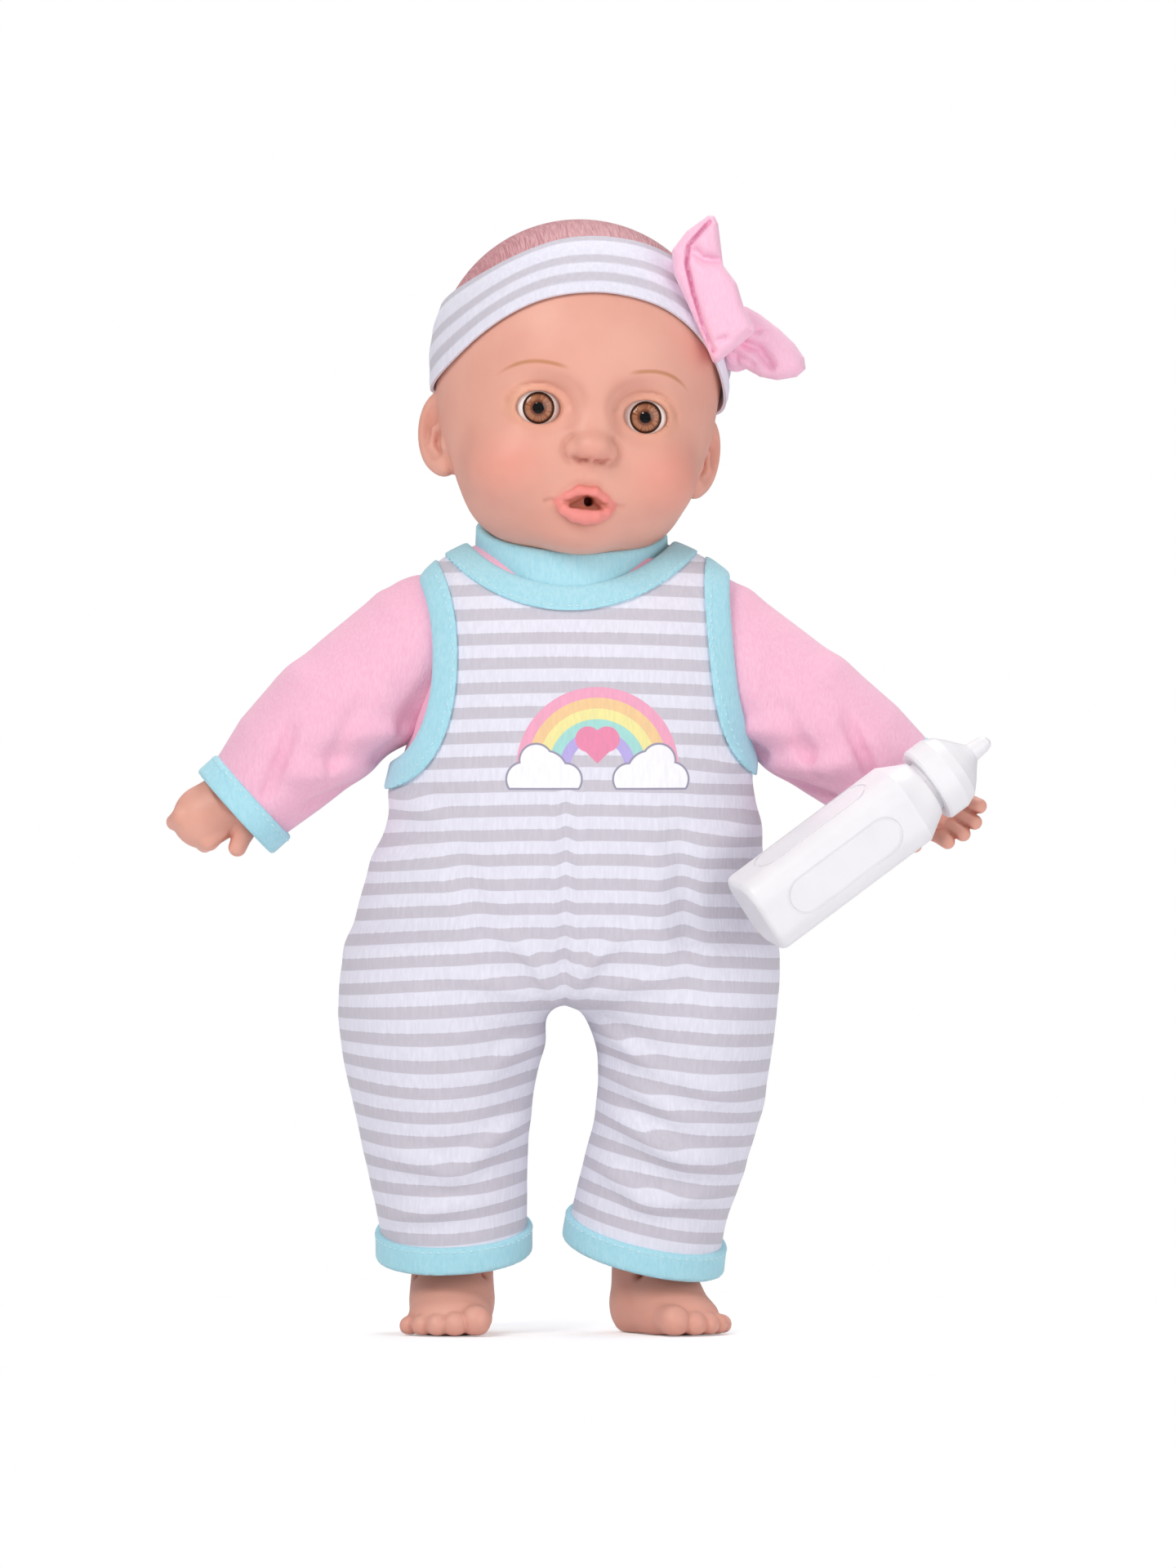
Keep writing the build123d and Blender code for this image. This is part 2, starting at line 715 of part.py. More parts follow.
def case_rear():
    """Back half, with the battery bay, the switch slot and the screw holes."""
    depth = case_depth / 2
    shell = half_case(False)
    tray = Pos(0, depth - (bay_depth + 1.2) / 2, 0) * Box(bay_width + 2.4, bay_depth + 1.2, bay_height + 2.4)
    bay = Pos(0, depth - bay_depth / 2 + 2, 0) * Box(bay_width, bay_depth + 4, bay_height)
    lid_seat = lid_block(0, case_wall) + Pos(0, 1, 0) * lid_block(0, case_wall)
    boss = rod_y(2.3, 8.0, 0, depth - case_wall - 4.0, lid_screw_z)
    cuts = [rod_y(screw_radius + 0.2, depth + 2, x, depth / 2, z) for x, z in corners]
    cuts += [rod_y(screw_head + 0.2, 6, x, depth, z) for x, z in corners]
    cuts.append(rod_y(screw_radius + 0.05, 16, 0, depth, lid_screw_z))
    slot = Pos(switch_x, depth, switch_z) * Box(3.2, 8, 3.2 + switch_travel)
    rim = lid_block(1.5, case_wall + 1.2) & (Pos(0, depth, 0) * Box(case_width - 1, 20, case_height - 1))
    return case_place * ((shell + tray + rim) - bay + boss - lid_seat - slot - merged(cuts))


switch_x, switch_z = case_width / 2 - 8.0, 0.0


def battery_lid():
    """Screwed lid over the cells."""
    depth = case_depth / 2
    plate = lid_block(-slip, case_wall)
    ribs = merged(
        [Pos(0, depth + 0.3, z) * Box(bay_width * 0.5, 0.8, 1.2) for z in (-20, -17, -14)]
    )
    hole = rod_y(screw_radius + 0.2, 10, 0, depth, lid_screw_z)
    return case_place * (plate + ribs - hole)


def screw(length):
    """Pan-head screw along Y, its head towards the back, the head's underside at Y = 0."""
    head = Pos(0, 0.9, 0) * Rot(90, 0, 0) * Cylinder(screw_head, 1.8)
    cross = Pos(0, 1.6, 0) * (Box(2.6, 1.0, 0.6) + Box(0.6, 1.0, 2.6))
    shank = Pos(0, -length / 2, 0) * Rot(90, 0, 0) * Cylinder(screw_radius, length)
    return head - cross + shank


def case_screws():
    """Four long screws that close the box."""
    depth = case_depth / 2
    made = [case_place * Pos(x, depth - 3.0, z) * screw(depth + 4) for x, z in corners]
    return Compound(children=[s for part in made for s in part.solids()])


def lid_screw():
    return case_place * Pos(0, case_depth / 2 + 0.05, lid_screw_z) * screw(7.0)


def cells():
    """Two cells lying side by side, one each way up."""
    made = []
    for side in (-1, 1):
        body = Cylinder(cell_radius - 0.1, cell_length - 1.0)
        nub = Pos(0, 0, side * cell_length / 2) * Cylinder(1.9, 1.0)
        x = side * (cell_radius + 0.3)
        made.append(case_place * Pos(x, case_depth / 2 - bay_depth + cell_radius + 0.1, 0) * (body + nub))
    return Compound(children=[s for part in made for s in part.solids()])


def battery_contacts():
    """A contact plate at each end of each cell and a spring on each negative end."""
    made = []
    y = case_depth / 2 - bay_depth + cell_radius + 0.1
    for side in (-1, 1):
        x = side * (cell_radius + 0.3)
        for end in (-1, 1):
            plate = Pos(x, y, end * (bay_height / 2 - 0.4)) * Box(8.0, 8.0, 0.5)
            made.append(case_place * plate)
        gap = bay_height / 2 - 0.7 - (cell_length - 1.0) / 2
        spring = coil(3.2, 0.35, gap - 1.0, 1.5)
        stand = Pos(0, 0, 0.4) * spring
        if side < 0:
            stand = Rot(180, 0, 0) * stand
        made.append(case_place * Pos(x, y, side * -(bay_height / 2 - 0.65)) * stand)
    return Compound(children=[s for part in made for s in part.solids()])


board_y = -2.2


def circuit_board():
    """Board with its sound chip, capacitor and two push switches soldered on."""
    wide, tall = case_width - 2 * case_wall - 1, case_height - 2 * case_wall - 1
    notch = 2 * (boss_inset + boss_radius + 0.4)
    plate = Pos(0, board_y, 0) * (
        Box(wide, board_thick, case_height - notch) + Box(case_width - notch, board_thick, tall)
    )
    speaker_room = rod_y(speaker_radius * 0.62, 10, 0, board_y, speaker_z)
    front = board_y - board_thick / 2
    chip = Pos(17, front - 0.95, -2) * Box(7, 1.9, 7)
    can = rod_y(2.4, 5.0, -19, front - 2.5, 2)
    tact = Pos(0, front - 1.0, button_z) * Box(6, 2.0, 6)
    stub = rod_y(1.7, 0.8, 0, front - 2.4, button_z)
    return case_place * merged([plate - speaker_room, chip, can, tact, stub])


def speaker_frame():
    """Pressed basket with the magnet's pot."""
    front = -case_depth / 2 + case_wall + 0.3
    rim = rod_y(speaker_radius, 1.2, 0, front + 0.6, speaker_z)
    basket = Pos(0, front + 3.0, speaker_z) * Rot(90, 0, 0) * Cylinder(speaker_radius * 0.85, 3.8)
    pot = rod_y(speaker_radius * 0.55, 5.0, 0, front + 6.9, speaker_z)
    hollow = Pos(0, front + 2.1, speaker_z) * Rot(90, 0, 0) * Cylinder(speaker_radius * 0.78, 4.3)
    return case_place * (rim + basket + pot - hollow)


def speaker_cone():
    """Paper cone with its dust cap."""
    front = -case_depth / 2 + case_wall + 0.3
    wide, narrow = speaker_radius * 0.76, speaker_radius * 0.3
    outer = turned([(0, narrow), (2.6, wide), (3.2, wide)])
    hollow = turned([(0.6, narrow - 0.2), (3.3, wide - 0.6)])
    cap = turned([(0.3, narrow - 0.4), (1.4, narrow * 0.6), (1.7, 0.2)])
    cone = outer - hollow + cap
    return case_place * Pos(0, front + 4.0, speaker_z) * Rot(90, 0, 0) * cone


def belly_button():
    """Push cap under the tummy cloth, kept in by its flange, with a stem over the push switch."""
    depth = case_depth / 2
    front = -depth - tower_length - button_proud
    rear = -depth + case_wall + 0.8
    cap = rod_y(button_radius, rear - front, 0, (rear + front) / 2, button_z)
    cap = cap - rod_y(button_radius - 1.8, rear - front - 2, 0, (rear + front - 2) / 2 + 2.0, button_z)
    spine = rod_y(3.0, rear - front - 1, 0, (rear + front + 1) / 2, button_z)
    flange = rod_y(button_radius + 1.6, 1.0, 0, -depth + case_wall + 0.7, button_z)
    tip = board_y - board_thick / 2 - 2.8 - button_travel - 0.3
    back = -depth + case_wall + 1.2
    stem = rod_y(1.6, tip - back + 1.0, 0, (tip + back - 1.0) / 2, button_z)
    return case_place * (cap + spine + flange + stem)


def button_spring():
    """Return spring between the button and the board."""
    back = -case_depth / 2 + case_wall + 1.2 + 0.6
    front = board_y - board_thick / 2 - 0.6
    spring = coil(4.6, 0.3, front - back - 0.2, 4)
    return case_place * Pos(0, back, button_z) * Rot(-90, 0, 0) * spring


def switch_body():
    """Metal can of the on-off slide switch."""
    depth = case_depth / 2
    can = Pos(switch_x, depth - case_wall - 0.2 - 1.8, switch_z) * Box(5.6, 3.6, 10.0)
    well = Pos(switch_x, depth - case_wall, switch_z) * Box(2.8, 3.0, 2.6 + switch_travel)
    return case_place * (can - well)


def switch_knob():
    """Sliding knob, at its off end."""
    depth = case_depth / 2
    knob = Pos(switch_x, depth - 0.5, switch_z - switch_travel / 2) * Box(2.4, 4.2, 2.4)
    return case_place * knob


# ================================================================ bottle

bottle_place = Plane(origin=bottle_foot, x_dir=(0, -1, 0), z_dir=bottle_heading).location * Rot(0, 0, bottle_turn)


def bottle_block(shrink, low, high):
    """Rounded square barrel, its shoulder and its neck."""
    width = bottle_width - 2 * shrink
    corner = bottle_corner - shrink
    square = Pos(0, 0, low) * RectangleRounded(width, width, corner)
    barrel = extrude(square, bottle_shoulder - low)
    shoulder = loft(
        [
            Pos(0, 0, bottle_shoulder) * RectangleRounded(width, width, corner),
            Pos(0, 0, bottle_neck_z - 1 - 1.2 * shrink) * Circle(bottle_neck_radius + 1.5 - 2 * shrink),
        ]
    )
    root = bottle_neck_z - 3
    neck = Pos(0, 0, (root + high) / 2) * Cylinder(bottle_neck_radius - shrink, high - root)
    return barrel + shoulder + neck


def bottle_body():
    """Hollow barrel with a raised-line panel on each face."""
    outer = bottle_block(0, 0, bottle_neck_z + 6)
    foot = outer.edges().filter_by(lambda e: abs(e.center().Z) < 0.01)
    outer = fillet(foot, 2.5)
    inner = bottle_block(bottle_wall, bottle_wall, bottle_neck_z + 7)
    ring = SlotOverall(44, 13) - SlotOverall(42, 11)
    grooves = []
    for quarter in range(4):
        band = extrude(Plane(origin=(bottle_width / 2 - 0.4, 0, 31), x_dir=(0, 0, 1), z_dir=(1, 0, 0)) * ring, 2)
        grooves.append(Rot(0, 0, 90 * quarter) * band)
    return outer - inner - merged(grooves)


def bottle_cap():
    """Screw collar and teat in one piece."""
    low = bottle_neck_z + 0.6
    top = low + cap_height
    outer = turned(
        [
            (low, cap_radius - 0.6),
            (low + 0.8, cap_radius),
            (low + 7.0, cap_radius),
            (low + 10.5, cap_radius - 1.5),
            (low + 13.5, cap_radius - 4.5),
            (top - 0.6, nipple_radius + 2.2),
            (top + 1.0, nipple_radius + 0.5),
            (top + nipple_length - 2.5, nipple_radius),
            (top + nipple_length - 0.8, nipple_radius * 0.8),
            (top + nipple_length, nipple_radius * 0.35),
        ]
    )
    socket = Pos(0, 0, low + 3.4) * Cylinder(bottle_neck_radius + slip, 7.0)
    hollow = turned([(low + 6.5, cap_radius - 3.4), (low + 11, cap_radius - 5.5), (top - 0.5, 1.2)])
    return outer - socket - hollow


# ================================================================ everything


def build():
    """Every node of the doll, by name, about the body's middle."""
    nodes = {
        "stuffed_torso": stuffed_trunk(),
        "shirt_body": shirt_trunk(),
        "shirt_collar": mock_neck(),
        "romper_body": romper_trunk(),
        "romper_neck_binding": neckline_binding(),
        "back_closure_loop": closure(-(cloth + tape), -(cloth + 0.05), 7.0),
        "back_closure_hook": closure(-(cloth + 2 * tape + 0.05), -(cloth + tape + 0.05), 7.0),
        "sound_case_front": case_front(),
        "sound_case_back": case_rear(),
        "battery_lid": battery_lid(),
        "case_screws": case_screws(),
        "battery_lid_screw": lid_screw(),
        "battery_cells": cells(),
        "battery_contacts": battery_contacts(),
        "circuit_board": circuit_board(),
        "speaker_frame": speaker_frame(),
        "speaker_cone": speaker_cone(),
        "power_switch_body": switch_body(),
        "power_switch_knob": switch_knob(),
        "belly_button": belly_button(),
        "belly_button_spring": button_spring(),
        "neck_sleeve": neck_sleeve(),
        "neck_cable_tie": Pos(neck_x, neck_y, 0) * cable_tie(neck_radius + neck_flange + 1.4 + 0.05, nod_height + 3),
        "head_shell": head_shell(),
        "eye_lenses": Compound(children=[s for side in (-1, 1) for s in eye_lens(side).solids()]),
        "mouth_switch_body": mouth_switch(),
        "mouth_switch_plunger": mouth_plunger(),
        "mouth_switch_lead": mouth_lead(),
        "headband": headband(),
        "bow_knot": bow_knot(),
        "bow_loop_front": bow_loop((36.0, -37.0, 33.0), (10.0, 13.0, 22.0), (0, 0, 0)),
        "bow_loop_back": bow_loop((59.0, -5.0, 19.0), (15.0, 12.0, 10.0), (0, 30, 0)),
        "bottle_body": bottle_place * bottle_body(),
        "bottle_cap": bottle_place * bottle_cap(),
    }
    for name in ("right", "left"):
        side = side_of(name)
        arm = arm_plane(name).location
        nodes[f"armhole_binding_{name}"] = armhole_binding(name)
        nodes[f"eye_white_{name}"] = eye_ball(side)
        nodes[f"eye_iris_{name}"] = eye_iris(side)
        nodes[f"upper_arm_{name}"] = arm * upper_arm()
        nodes[f"sleeve_{name}"] = arm * sleeve()
        nodes[f"sleeve_cuff_{name}"] = arm * sleeve_cuff()
        nodes[f"forearm_{name}"] = arm * forearm(name)
        nodes[f"arm_cable_tie_{name}"] = arm * arm_tie()
        nodes[f"thigh_{name}"] = thigh(name)
        nodes[f"romper_leg_{name}"] = romper_leg(name)
        nodes[f"leg_cuff_{name}"] = leg_cuff(name)
        nodes[f"lower_leg_{name}"] = shin(name)
        nodes[f"leg_cable_tie_{name}"] = leg_tie(name)
    return nodes


def centring(nodes):
    """How far everything moves to bring the middle of the doll's outline over the origin."""
    boxes = [shape.bounding_box() for shape in nodes.values()]
    low_x, high_x = min(b.min.X for b in boxes), max(b.max.X for b in boxes)
    low_y, high_y = min(b.min.Y for b in boxes), max(b.max.Y for b in boxes)
    return Vector(-(low_x + high_x) / 2, -(low_y + high_y) / 2, 0)


if __name__ == "__main__":
    os.makedirs("parts", exist_ok=True)
    made = build()
    shift = centring(made)
    for node, shape in made.items():
        export_step(Pos(*shift) * shape, f"parts/{node}.step")
    print("moved by", shift)
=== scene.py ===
import bpy
import json
import math
import numpy as np
from mathutils import Matrix, Vector


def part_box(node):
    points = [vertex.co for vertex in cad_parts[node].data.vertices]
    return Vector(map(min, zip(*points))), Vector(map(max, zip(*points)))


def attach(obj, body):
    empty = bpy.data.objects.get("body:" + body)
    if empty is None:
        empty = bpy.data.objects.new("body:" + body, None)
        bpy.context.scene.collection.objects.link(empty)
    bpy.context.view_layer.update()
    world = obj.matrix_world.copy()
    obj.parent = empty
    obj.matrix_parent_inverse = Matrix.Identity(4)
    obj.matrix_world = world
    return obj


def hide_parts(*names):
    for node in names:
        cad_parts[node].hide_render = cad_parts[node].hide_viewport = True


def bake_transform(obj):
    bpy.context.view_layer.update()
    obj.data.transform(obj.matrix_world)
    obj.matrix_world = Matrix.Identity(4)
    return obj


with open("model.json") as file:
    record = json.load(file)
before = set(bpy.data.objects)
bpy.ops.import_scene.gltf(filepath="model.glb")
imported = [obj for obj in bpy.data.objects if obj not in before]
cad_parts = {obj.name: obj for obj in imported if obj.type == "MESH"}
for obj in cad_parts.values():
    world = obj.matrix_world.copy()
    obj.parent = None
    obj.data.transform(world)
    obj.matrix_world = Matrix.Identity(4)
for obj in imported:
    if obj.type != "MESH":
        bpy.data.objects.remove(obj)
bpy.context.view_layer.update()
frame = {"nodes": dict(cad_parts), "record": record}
nodes = frame["nodes"]
scene = bpy.context.scene

# Everything below is worked out in millimetres about the middle of the trunk, as the CAD is,
# and moved to the row frame when a mesh is made.
trunkLow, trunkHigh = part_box("romper_body")
middle = np.array([(trunkLow[0] + trunkHigh[0]) * 500, (trunkLow[1] + trunkHigh[1]) * 500, 0.0])


def toRow(points):
    return (np.asarray(points, float) + middle) / 1000


# ---- nodes, materials and colours


def setInputs(tree, node, values):
    # links each node or socket, and sets each plain value
    for key, value in values.items():
        if isinstance(value, bpy.types.Node):
            value = next(out for out in value.outputs if out.enabled)
        if isinstance(value, bpy.types.NodeSocket):
            tree.links.new(value, node.inputs[key])
        else:
            node.inputs[key].default_value = value


def addNode(tree, kind, inputs=(), **settings):
    # inputs come in the node's own order, or as a dictionary by place or name
    node = tree.nodes.new(kind if "Node" in kind else "ShaderNode" + kind)
    for key, value in settings.items():
        setattr(node, key, value)
    setInputs(tree, node, inputs if isinstance(inputs, dict) else dict(enumerate(inputs)))
    return node


def hexColour(text):
    channels = [int(text[i : i + 2], 16) / 255 for i in (1, 3, 5)]
    return [c / 12.92 if c <= 0.04045 else ((c + 0.055) / 1.055) ** 2.4 for c in channels] + [1.0]


def newMaterial(name):
    material = bpy.data.materials.new(name)
    material.use_nodes = True
    tree = material.node_tree
    return material, tree, tree.nodes["Principled BSDF"]


def paint(tree, under, shade, value, ramp=None, share=1.0):
    # lays a shade over what is under it as the value goes from the ramp's first end to its second
    if ramp:
        value = addNode(tree, "MapRange", [value, *ramp], interpolation_type="SMOOTHSTEP")
    factor = addNode(tree, "Math", [value, share], operation="MULTIPLY")
    under = hexColour(under) if isinstance(under, str) else under
    return addNode(tree, "Mix", {0: factor, 6: under, 7: hexColour(shade)}, data_type="RGBA")


# ---- surfaces from fields: a field is negative inside a shape, its value a distance in mm


def near(a, b, soft):
    h = np.clip(0.5 + 0.5 * (b - a) / soft, 0, 1)
    return b * (1 - h) + a * h - soft * h * (1 - h)


def carve(a, b, soft):
    return -near(-a, b, soft)


def both(a, b, soft):
    return -near(-a, -b, soft)


def egg(p, at, half):
    q = p - np.array(at, np.float32)
    half = np.array(half, np.float32)
    k0 = np.sqrt(((q / half) ** 2).sum(-1))
    k1 = np.sqrt(((q / half**2) ** 2).sum(-1))
    return k0 * (k0 - 1) / np.maximum(k1, 1e-6)


def rod(p, a, b, ra, rb):
    a, b = np.array(a, np.float32), np.array(b, np.float32)
    t = np.clip(((p - a) @ (b - a)) / ((b - a) ** 2).sum(), 0, 1)
    return np.sqrt(((p - a - t[..., None] * (b - a)) ** 2).sum(-1)) - (ra + (rb - ra) * t)


def chain(p, points, radii, soft=1.0):
    made = None
    for i in range(len(points) - 1):
        piece = rod(p, points[i], points[i + 1], radii[i], radii[i + 1])
        made = piece if made is None else near(made, piece, soft)
    return made


def meshField(field, low, high, step, rounds=2):
    # surface nets over only those blocks of the grid that the surface passes through
    block = 6
    low = np.array(low, float)
    blocks = np.ceil((np.array(high) - low) / (step * block)).astype(int)
    cells = blocks * block
    centres = np.meshgrid(*[np.arange(n) + 0.5 for n in blocks], indexing="ij")
    grid = np.stack(centres, -1) * block * step + low
    rough = field(grid.reshape(-1, 3).astype(np.float32)).reshape(blocks)
    close = np.abs(rough) < block * step * 1.25 + 1.0

    def spread(a):
        for axis in range(3):
            a = np.repeat(a, block, axis)
        return a

    value = np.pad(spread(np.where(rough > 0, 50.0, -50.0).astype(np.float32)), [(0, 1)] * 3, mode="edge")
    mask = np.zeros(cells + 1, bool)
    wide = spread(close)
    corners = [(x, y, z) for x in (0, 1) for y in (0, 1) for z in (0, 1)]
    for x, y, z in corners:
        mask[x : x + cells[0], y : y + cells[1], z : z + cells[2]] |= wide
    where = np.argwhere(mask)
    pieces = np.array_split(where, max(1, len(where) // 200000))
    value[mask] = np.concatenate([field((low + piece * step).astype(np.float32)) for piece in pieces])
    inside = value < 0
    count = np.zeros(cells, np.int8)
    for x, y, z in corners:
        count += inside[x : x + cells[0], y : y + cells[1], z : z + cells[2]]
    mixed = (count > 0) & (count < 8)
    index = np.argwhere(mixed)
    number = np.full(cells, -1, np.int64)
    number[mixed] = np.arange(len(index))
    total, crossings = np.zeros((len(index), 3)), np.zeros(len(index))
    for a in corners:
        for axis in range(3):
            if a[axis]:
                continue
            b = tuple(1 if i == axis else a[i] for i in range(3))
            va = value[tuple((index + a).T)]
            vb = value[tuple((index + b).T)]
            cross = (va < 0) != (vb < 0)
            t = np.where(cross, va / np.where(cross, va - vb, 1), 0)
            at = np.array(a) + t[:, None] * (np.array(b) - np.array(a))
            total[cross] += at[cross]
            crossings[cross] += 1
    verts = low + (index + total / crossings[:, None]) * step
    quads = []
    for axis in range(3):
        u, v = (axis + 1) % 3, (axis + 2) % 3
        first = [slice(None)] * 3
        second = [slice(None)] * 3
        first[axis], second[axis] = slice(0, -1), slice(1, None)
        a, b = inside[tuple(first)], inside[tuple(second)]
        for flag, start in ((a & ~b, 0), (~a & b, 1)):
            at = np.argwhere(flag)
            at = at[(at[:, u] > 0) & (at[:, v] > 0) & (at[:, u] < cells[u]) & (at[:, v] < cells[v])]
            ring = []
            for du, dv in ((-1, -1), (0, -1), (0, 0), (-1, 0)):
                cell = at.copy()
                cell[:, u] += du
                cell[:, v] += dv
                ring.append(number[tuple(cell.T)])
            quad = np.stack(ring, 1)
            quads.append(quad if start == 0 else quad[:, ::-1])
    quads = np.concatenate(quads)
    quads = quads[(quads >= 0).all(1)]
    return settle(verts, field, rounds), quads


def slopeOf(field, points, value, e):
    # how fast the value grows along each axis, from a small step e
    return np.stack([(field((points + move).astype(np.float32)) - value) / e for move in np.eye(3) * e], 1)


def settle(verts, field, rounds=2):
    # brings every point onto the surface
    for _ in range(rounds):
        f = field(verts.astype(np.float32))
        slope = slopeOf(field, verts, f, 0.08)
        steep = np.maximum((slope**2).sum(1), 0.2)
        verts = verts - slope * np.clip(f / steep, -0.7, 0.7)[:, None]
    return verts


def trim(verts, faces, keep):
    # cuts the mesh along keep = 0, and what is left has keep > 0
    faces = [list(f) for f in faces]
    verts, keep = list(map(tuple, verts)), list(keep)
    made, out = {}, []
    for face in faces:
        signs = [keep[i] > 0 for i in face]
        if all(signs):
            out.append(face)
            continue
        if not any(signs):
            continue
        fresh = []
        for k, i in enumerate(face):
            j = face[(k + 1) % len(face)]
            if keep[i] > 0:
                fresh.append(i)
            if (keep[i] > 0) != (keep[j] > 0):
                key = (min(i, j), max(i, j))
                if key not in made:
                    t = keep[i] / (keep[i] - keep[j])
                    made[key] = len(verts)
                    verts.append(tuple(verts[i][c] + t * (verts[j][c] - verts[i][c]) for c in range(3)))
                    keep.append(0.0)
                fresh.append(made[key])
        if len(fresh) > 2:
            out.append(fresh)
    used = sorted({i for f in out for i in f})
    renumber = {old: new for new, old in enumerate(used)}
    return np.array([verts[i] for i in used]), [[renumber[i] for i in f] for f in out]


def normalsOf(verts, faces):
    total = np.zeros((len(verts), 3))
    bySize = {}
    for f in faces:
        bySize.setdefault(len(f), []).append(f)
    for size, group in bySize.items():
        group = np.array(group)
        p = verts[group]
        n = np.cross(p[:, 1] - p[:, 0], p[:, 2] - p[:, 0])
        if size > 3:
            n += np.cross(p[:, 2] - p[:, 0], p[:, 3] - p[:, 0])
        for k in range(size):
            np.add.at(total, group[:, k], n)
    return total / np.maximum(np.linalg.norm(total, axis=1, keepdims=True), 1e-9)


def thicken(verts, faces, wall):
    # gives an open skin an inner face and a rim
    count = len(verts)
    inner = verts - normalsOf(verts, faces) * wall
    edges = {}
    for f in faces:
        for k, i in enumerate(f):
            edges[(i, f[(k + 1) % len(f)])] = True
    rim = [[j, i, i + count, j + count] for i, j in edges if (j, i) not in edges]
    back = [[i + count for i in reversed(f)] for f in faces]
    return np.concatenate([verts, inner]), [list(f) for f in faces] + back + rim


def hollowOf(field, verts, faces, reaches=(1.5, 4.0)):
    # how closed in each point is by the shape around it, 0 in the open to 1 in a crease; the finishes paint
    # shade by it
    normals = normalsOf(verts, faces)
    total = 0.0
    for reach in reaches:
        total = total + np.clip(1 - field((verts + normals * reach).astype(np.float32)) / reach, 0, 1)
    return total / len(reaches)


def makeObject(name, verts, faces, material, values=None):
    mesh = bpy.data.meshes.new(name)
    mesh.from_pydata(toRow(verts).tolist(), [], [list(map(int, f)) for f in faces])
    mesh.update()
    for key, data in (values or {}).items():
        kind = "FLOAT" if data.ndim == 1 else "FLOAT_VECTOR"
        attribute = mesh.attributes.new(key, kind, "POINT")
        attribute.data.foreach_set("value" if data.ndim == 1 else "vector", data.astype(np.float32).ravel())
    mesh.polygons.foreach_set("use_smooth", [True] * len(mesh.polygons))
    mesh.set_sharp_from_angle(angle=math.radians(50))
    mesh.materials.append(material)
    piece = bpy.data.objects.new(name, mesh)
    scene.collection.objects.link(piece)
    return piece


def lathe(profile, around=56):
    # turns (radius, forward) points about a forward axis into a closed skin facing outwards
    verts, rings = [], []
    for radius, ahead in profile:
        if radius < 1e-6:
            rings.append([len(verts)] * around)
            verts.append((0.0, -ahead, 0.0))
            continue
        rings.append(list(range(len(verts), len(verts) + around)))
        for k in range(around):
            angle = 2 * math.pi * k / around
            verts.append((radius * math.cos(angle), -ahead, radius * math.sin(angle)))
    faces = []
    for a, b in zip(rings, rings[1:]):
        for k in range(around):
            n = (k + 1) % around
            ring = [a[k], a[n], b[n], b[k]]
            faces.append([v for i, v in enumerate(ring) if v not in ring[:i]])
    return np.array(verts), faces


# ---- camera, floor and light

# in mm: how much of the doll's plane the camera takes in, where it stands and how far it looks down
view = {"frame": 501.3, "distance": 4500.0, "across": 7.0, "height": 240.0, "down": 64.5}
camera = bpy.data.objects.new("camera", bpy.data.cameras.new("camera"))
camera.data.sensor_fit = "AUTO"
camera.data.lens = 36 * view["distance"] / view["frame"]
camera.location = Vector(toRow((view["across"], -view["distance"], view["height"])))
sight = Vector((0, view["distance"], -view["down"]))
camera.rotation_euler = sight.to_track_quat("-Z", "Y").to_euler()
camera.data.clip_end = 30
scene.collection.objects.link(camera)
scene.camera = camera
scene.view_settings.view_transform = "Standard"


def seenDirectly(tree):
    path = addNode(tree, "LightPath")
    rays = [path.outputs["Is Camera Ray"], path.outputs["Is Transmission Ray"]]
    return addNode(tree, "Math", rays, operation="MAXIMUM")


world = bpy.data.worlds.new("studio")
world.use_nodes = True
scene.world = world
sky = world.node_tree
seen = seenDirectly(sky)
setInputs(sky, sky.nodes["Background"], {
    "Color": addNode(sky, "Mix", {0: seen, 6: (0.80, 0.81, 0.84, 1), 7: (1, 1, 1, 1)}, data_type="RGBA"),
    "Strength": addNode(sky, "Mix", {0: seen, 2: 0.45, 3: 1.0}, data_type="FLOAT"),
})


def addLamp(name, at, target, size, watts, colour):
    data = bpy.data.lights.new(name, "AREA")
    data.shape, data.size, data.energy, data.color = "DISK", size, watts, colour
    lamp = bpy.data.objects.new(name, data)
    lamp.location = at
    lamp.rotation_euler = (Vector(target) - Vector(at)).to_track_quat("-Z", "Y").to_euler()
    scene.collection.objects.link(lamp)


addLamp("keyLamp", (-0.75, -1.15, 1.15), (0, 0, 0.2), 0.75, 13.0, (1.0, 0.985, 0.96))
addLamp("fillLamp", (1.0, -1.0, 0.55), (0, 0, 0.18), 1.1, 6.2, (1.0, 0.985, 0.97))
addLamp("eyeLamp", (0.22, -1.5, 0.62), (0, 0, 0.29), 0.09, 0.5, (1, 1, 1))
addLamp("topLamp", (0.1, 0.5, 1.3), (0, 0, 0.2), 0.8, 7, (1, 1, 1))

# matt white paint that fades to the white of the world away from the doll
floorMaterial, tree, shader = newMaterial("paintedBackdrop")
setInputs(tree, shader, {"Base Color": hexColour("#f4f4f6"), "Roughness": 0.9})
seen = seenDirectly(tree)
glow = addNode(tree, "Emission", {"Color": (1, 1, 1, 1), "Strength": 0.32})
lit = addNode(tree, "AddShader", [shader, glow])
mixed = addNode(tree, "MixShader", [seen, shader, lit])
far = addNode(tree, "VectorMath", [addNode(tree, "TexCoord").outputs["Object"]], operation="LENGTH")
ramp = addNode(tree, "MapRange", [far, 0.12, 0.26], interpolation_type="SMOOTHSTEP")
fade = addNode(tree, "Math", [ramp, seen], operation="MULTIPLY")
plain = addNode(tree, "Emission", {"Color": (1, 1, 1, 1), "Strength": 1.0})
surface = addNode(tree, "MixShader", [fade, mixed, plain])
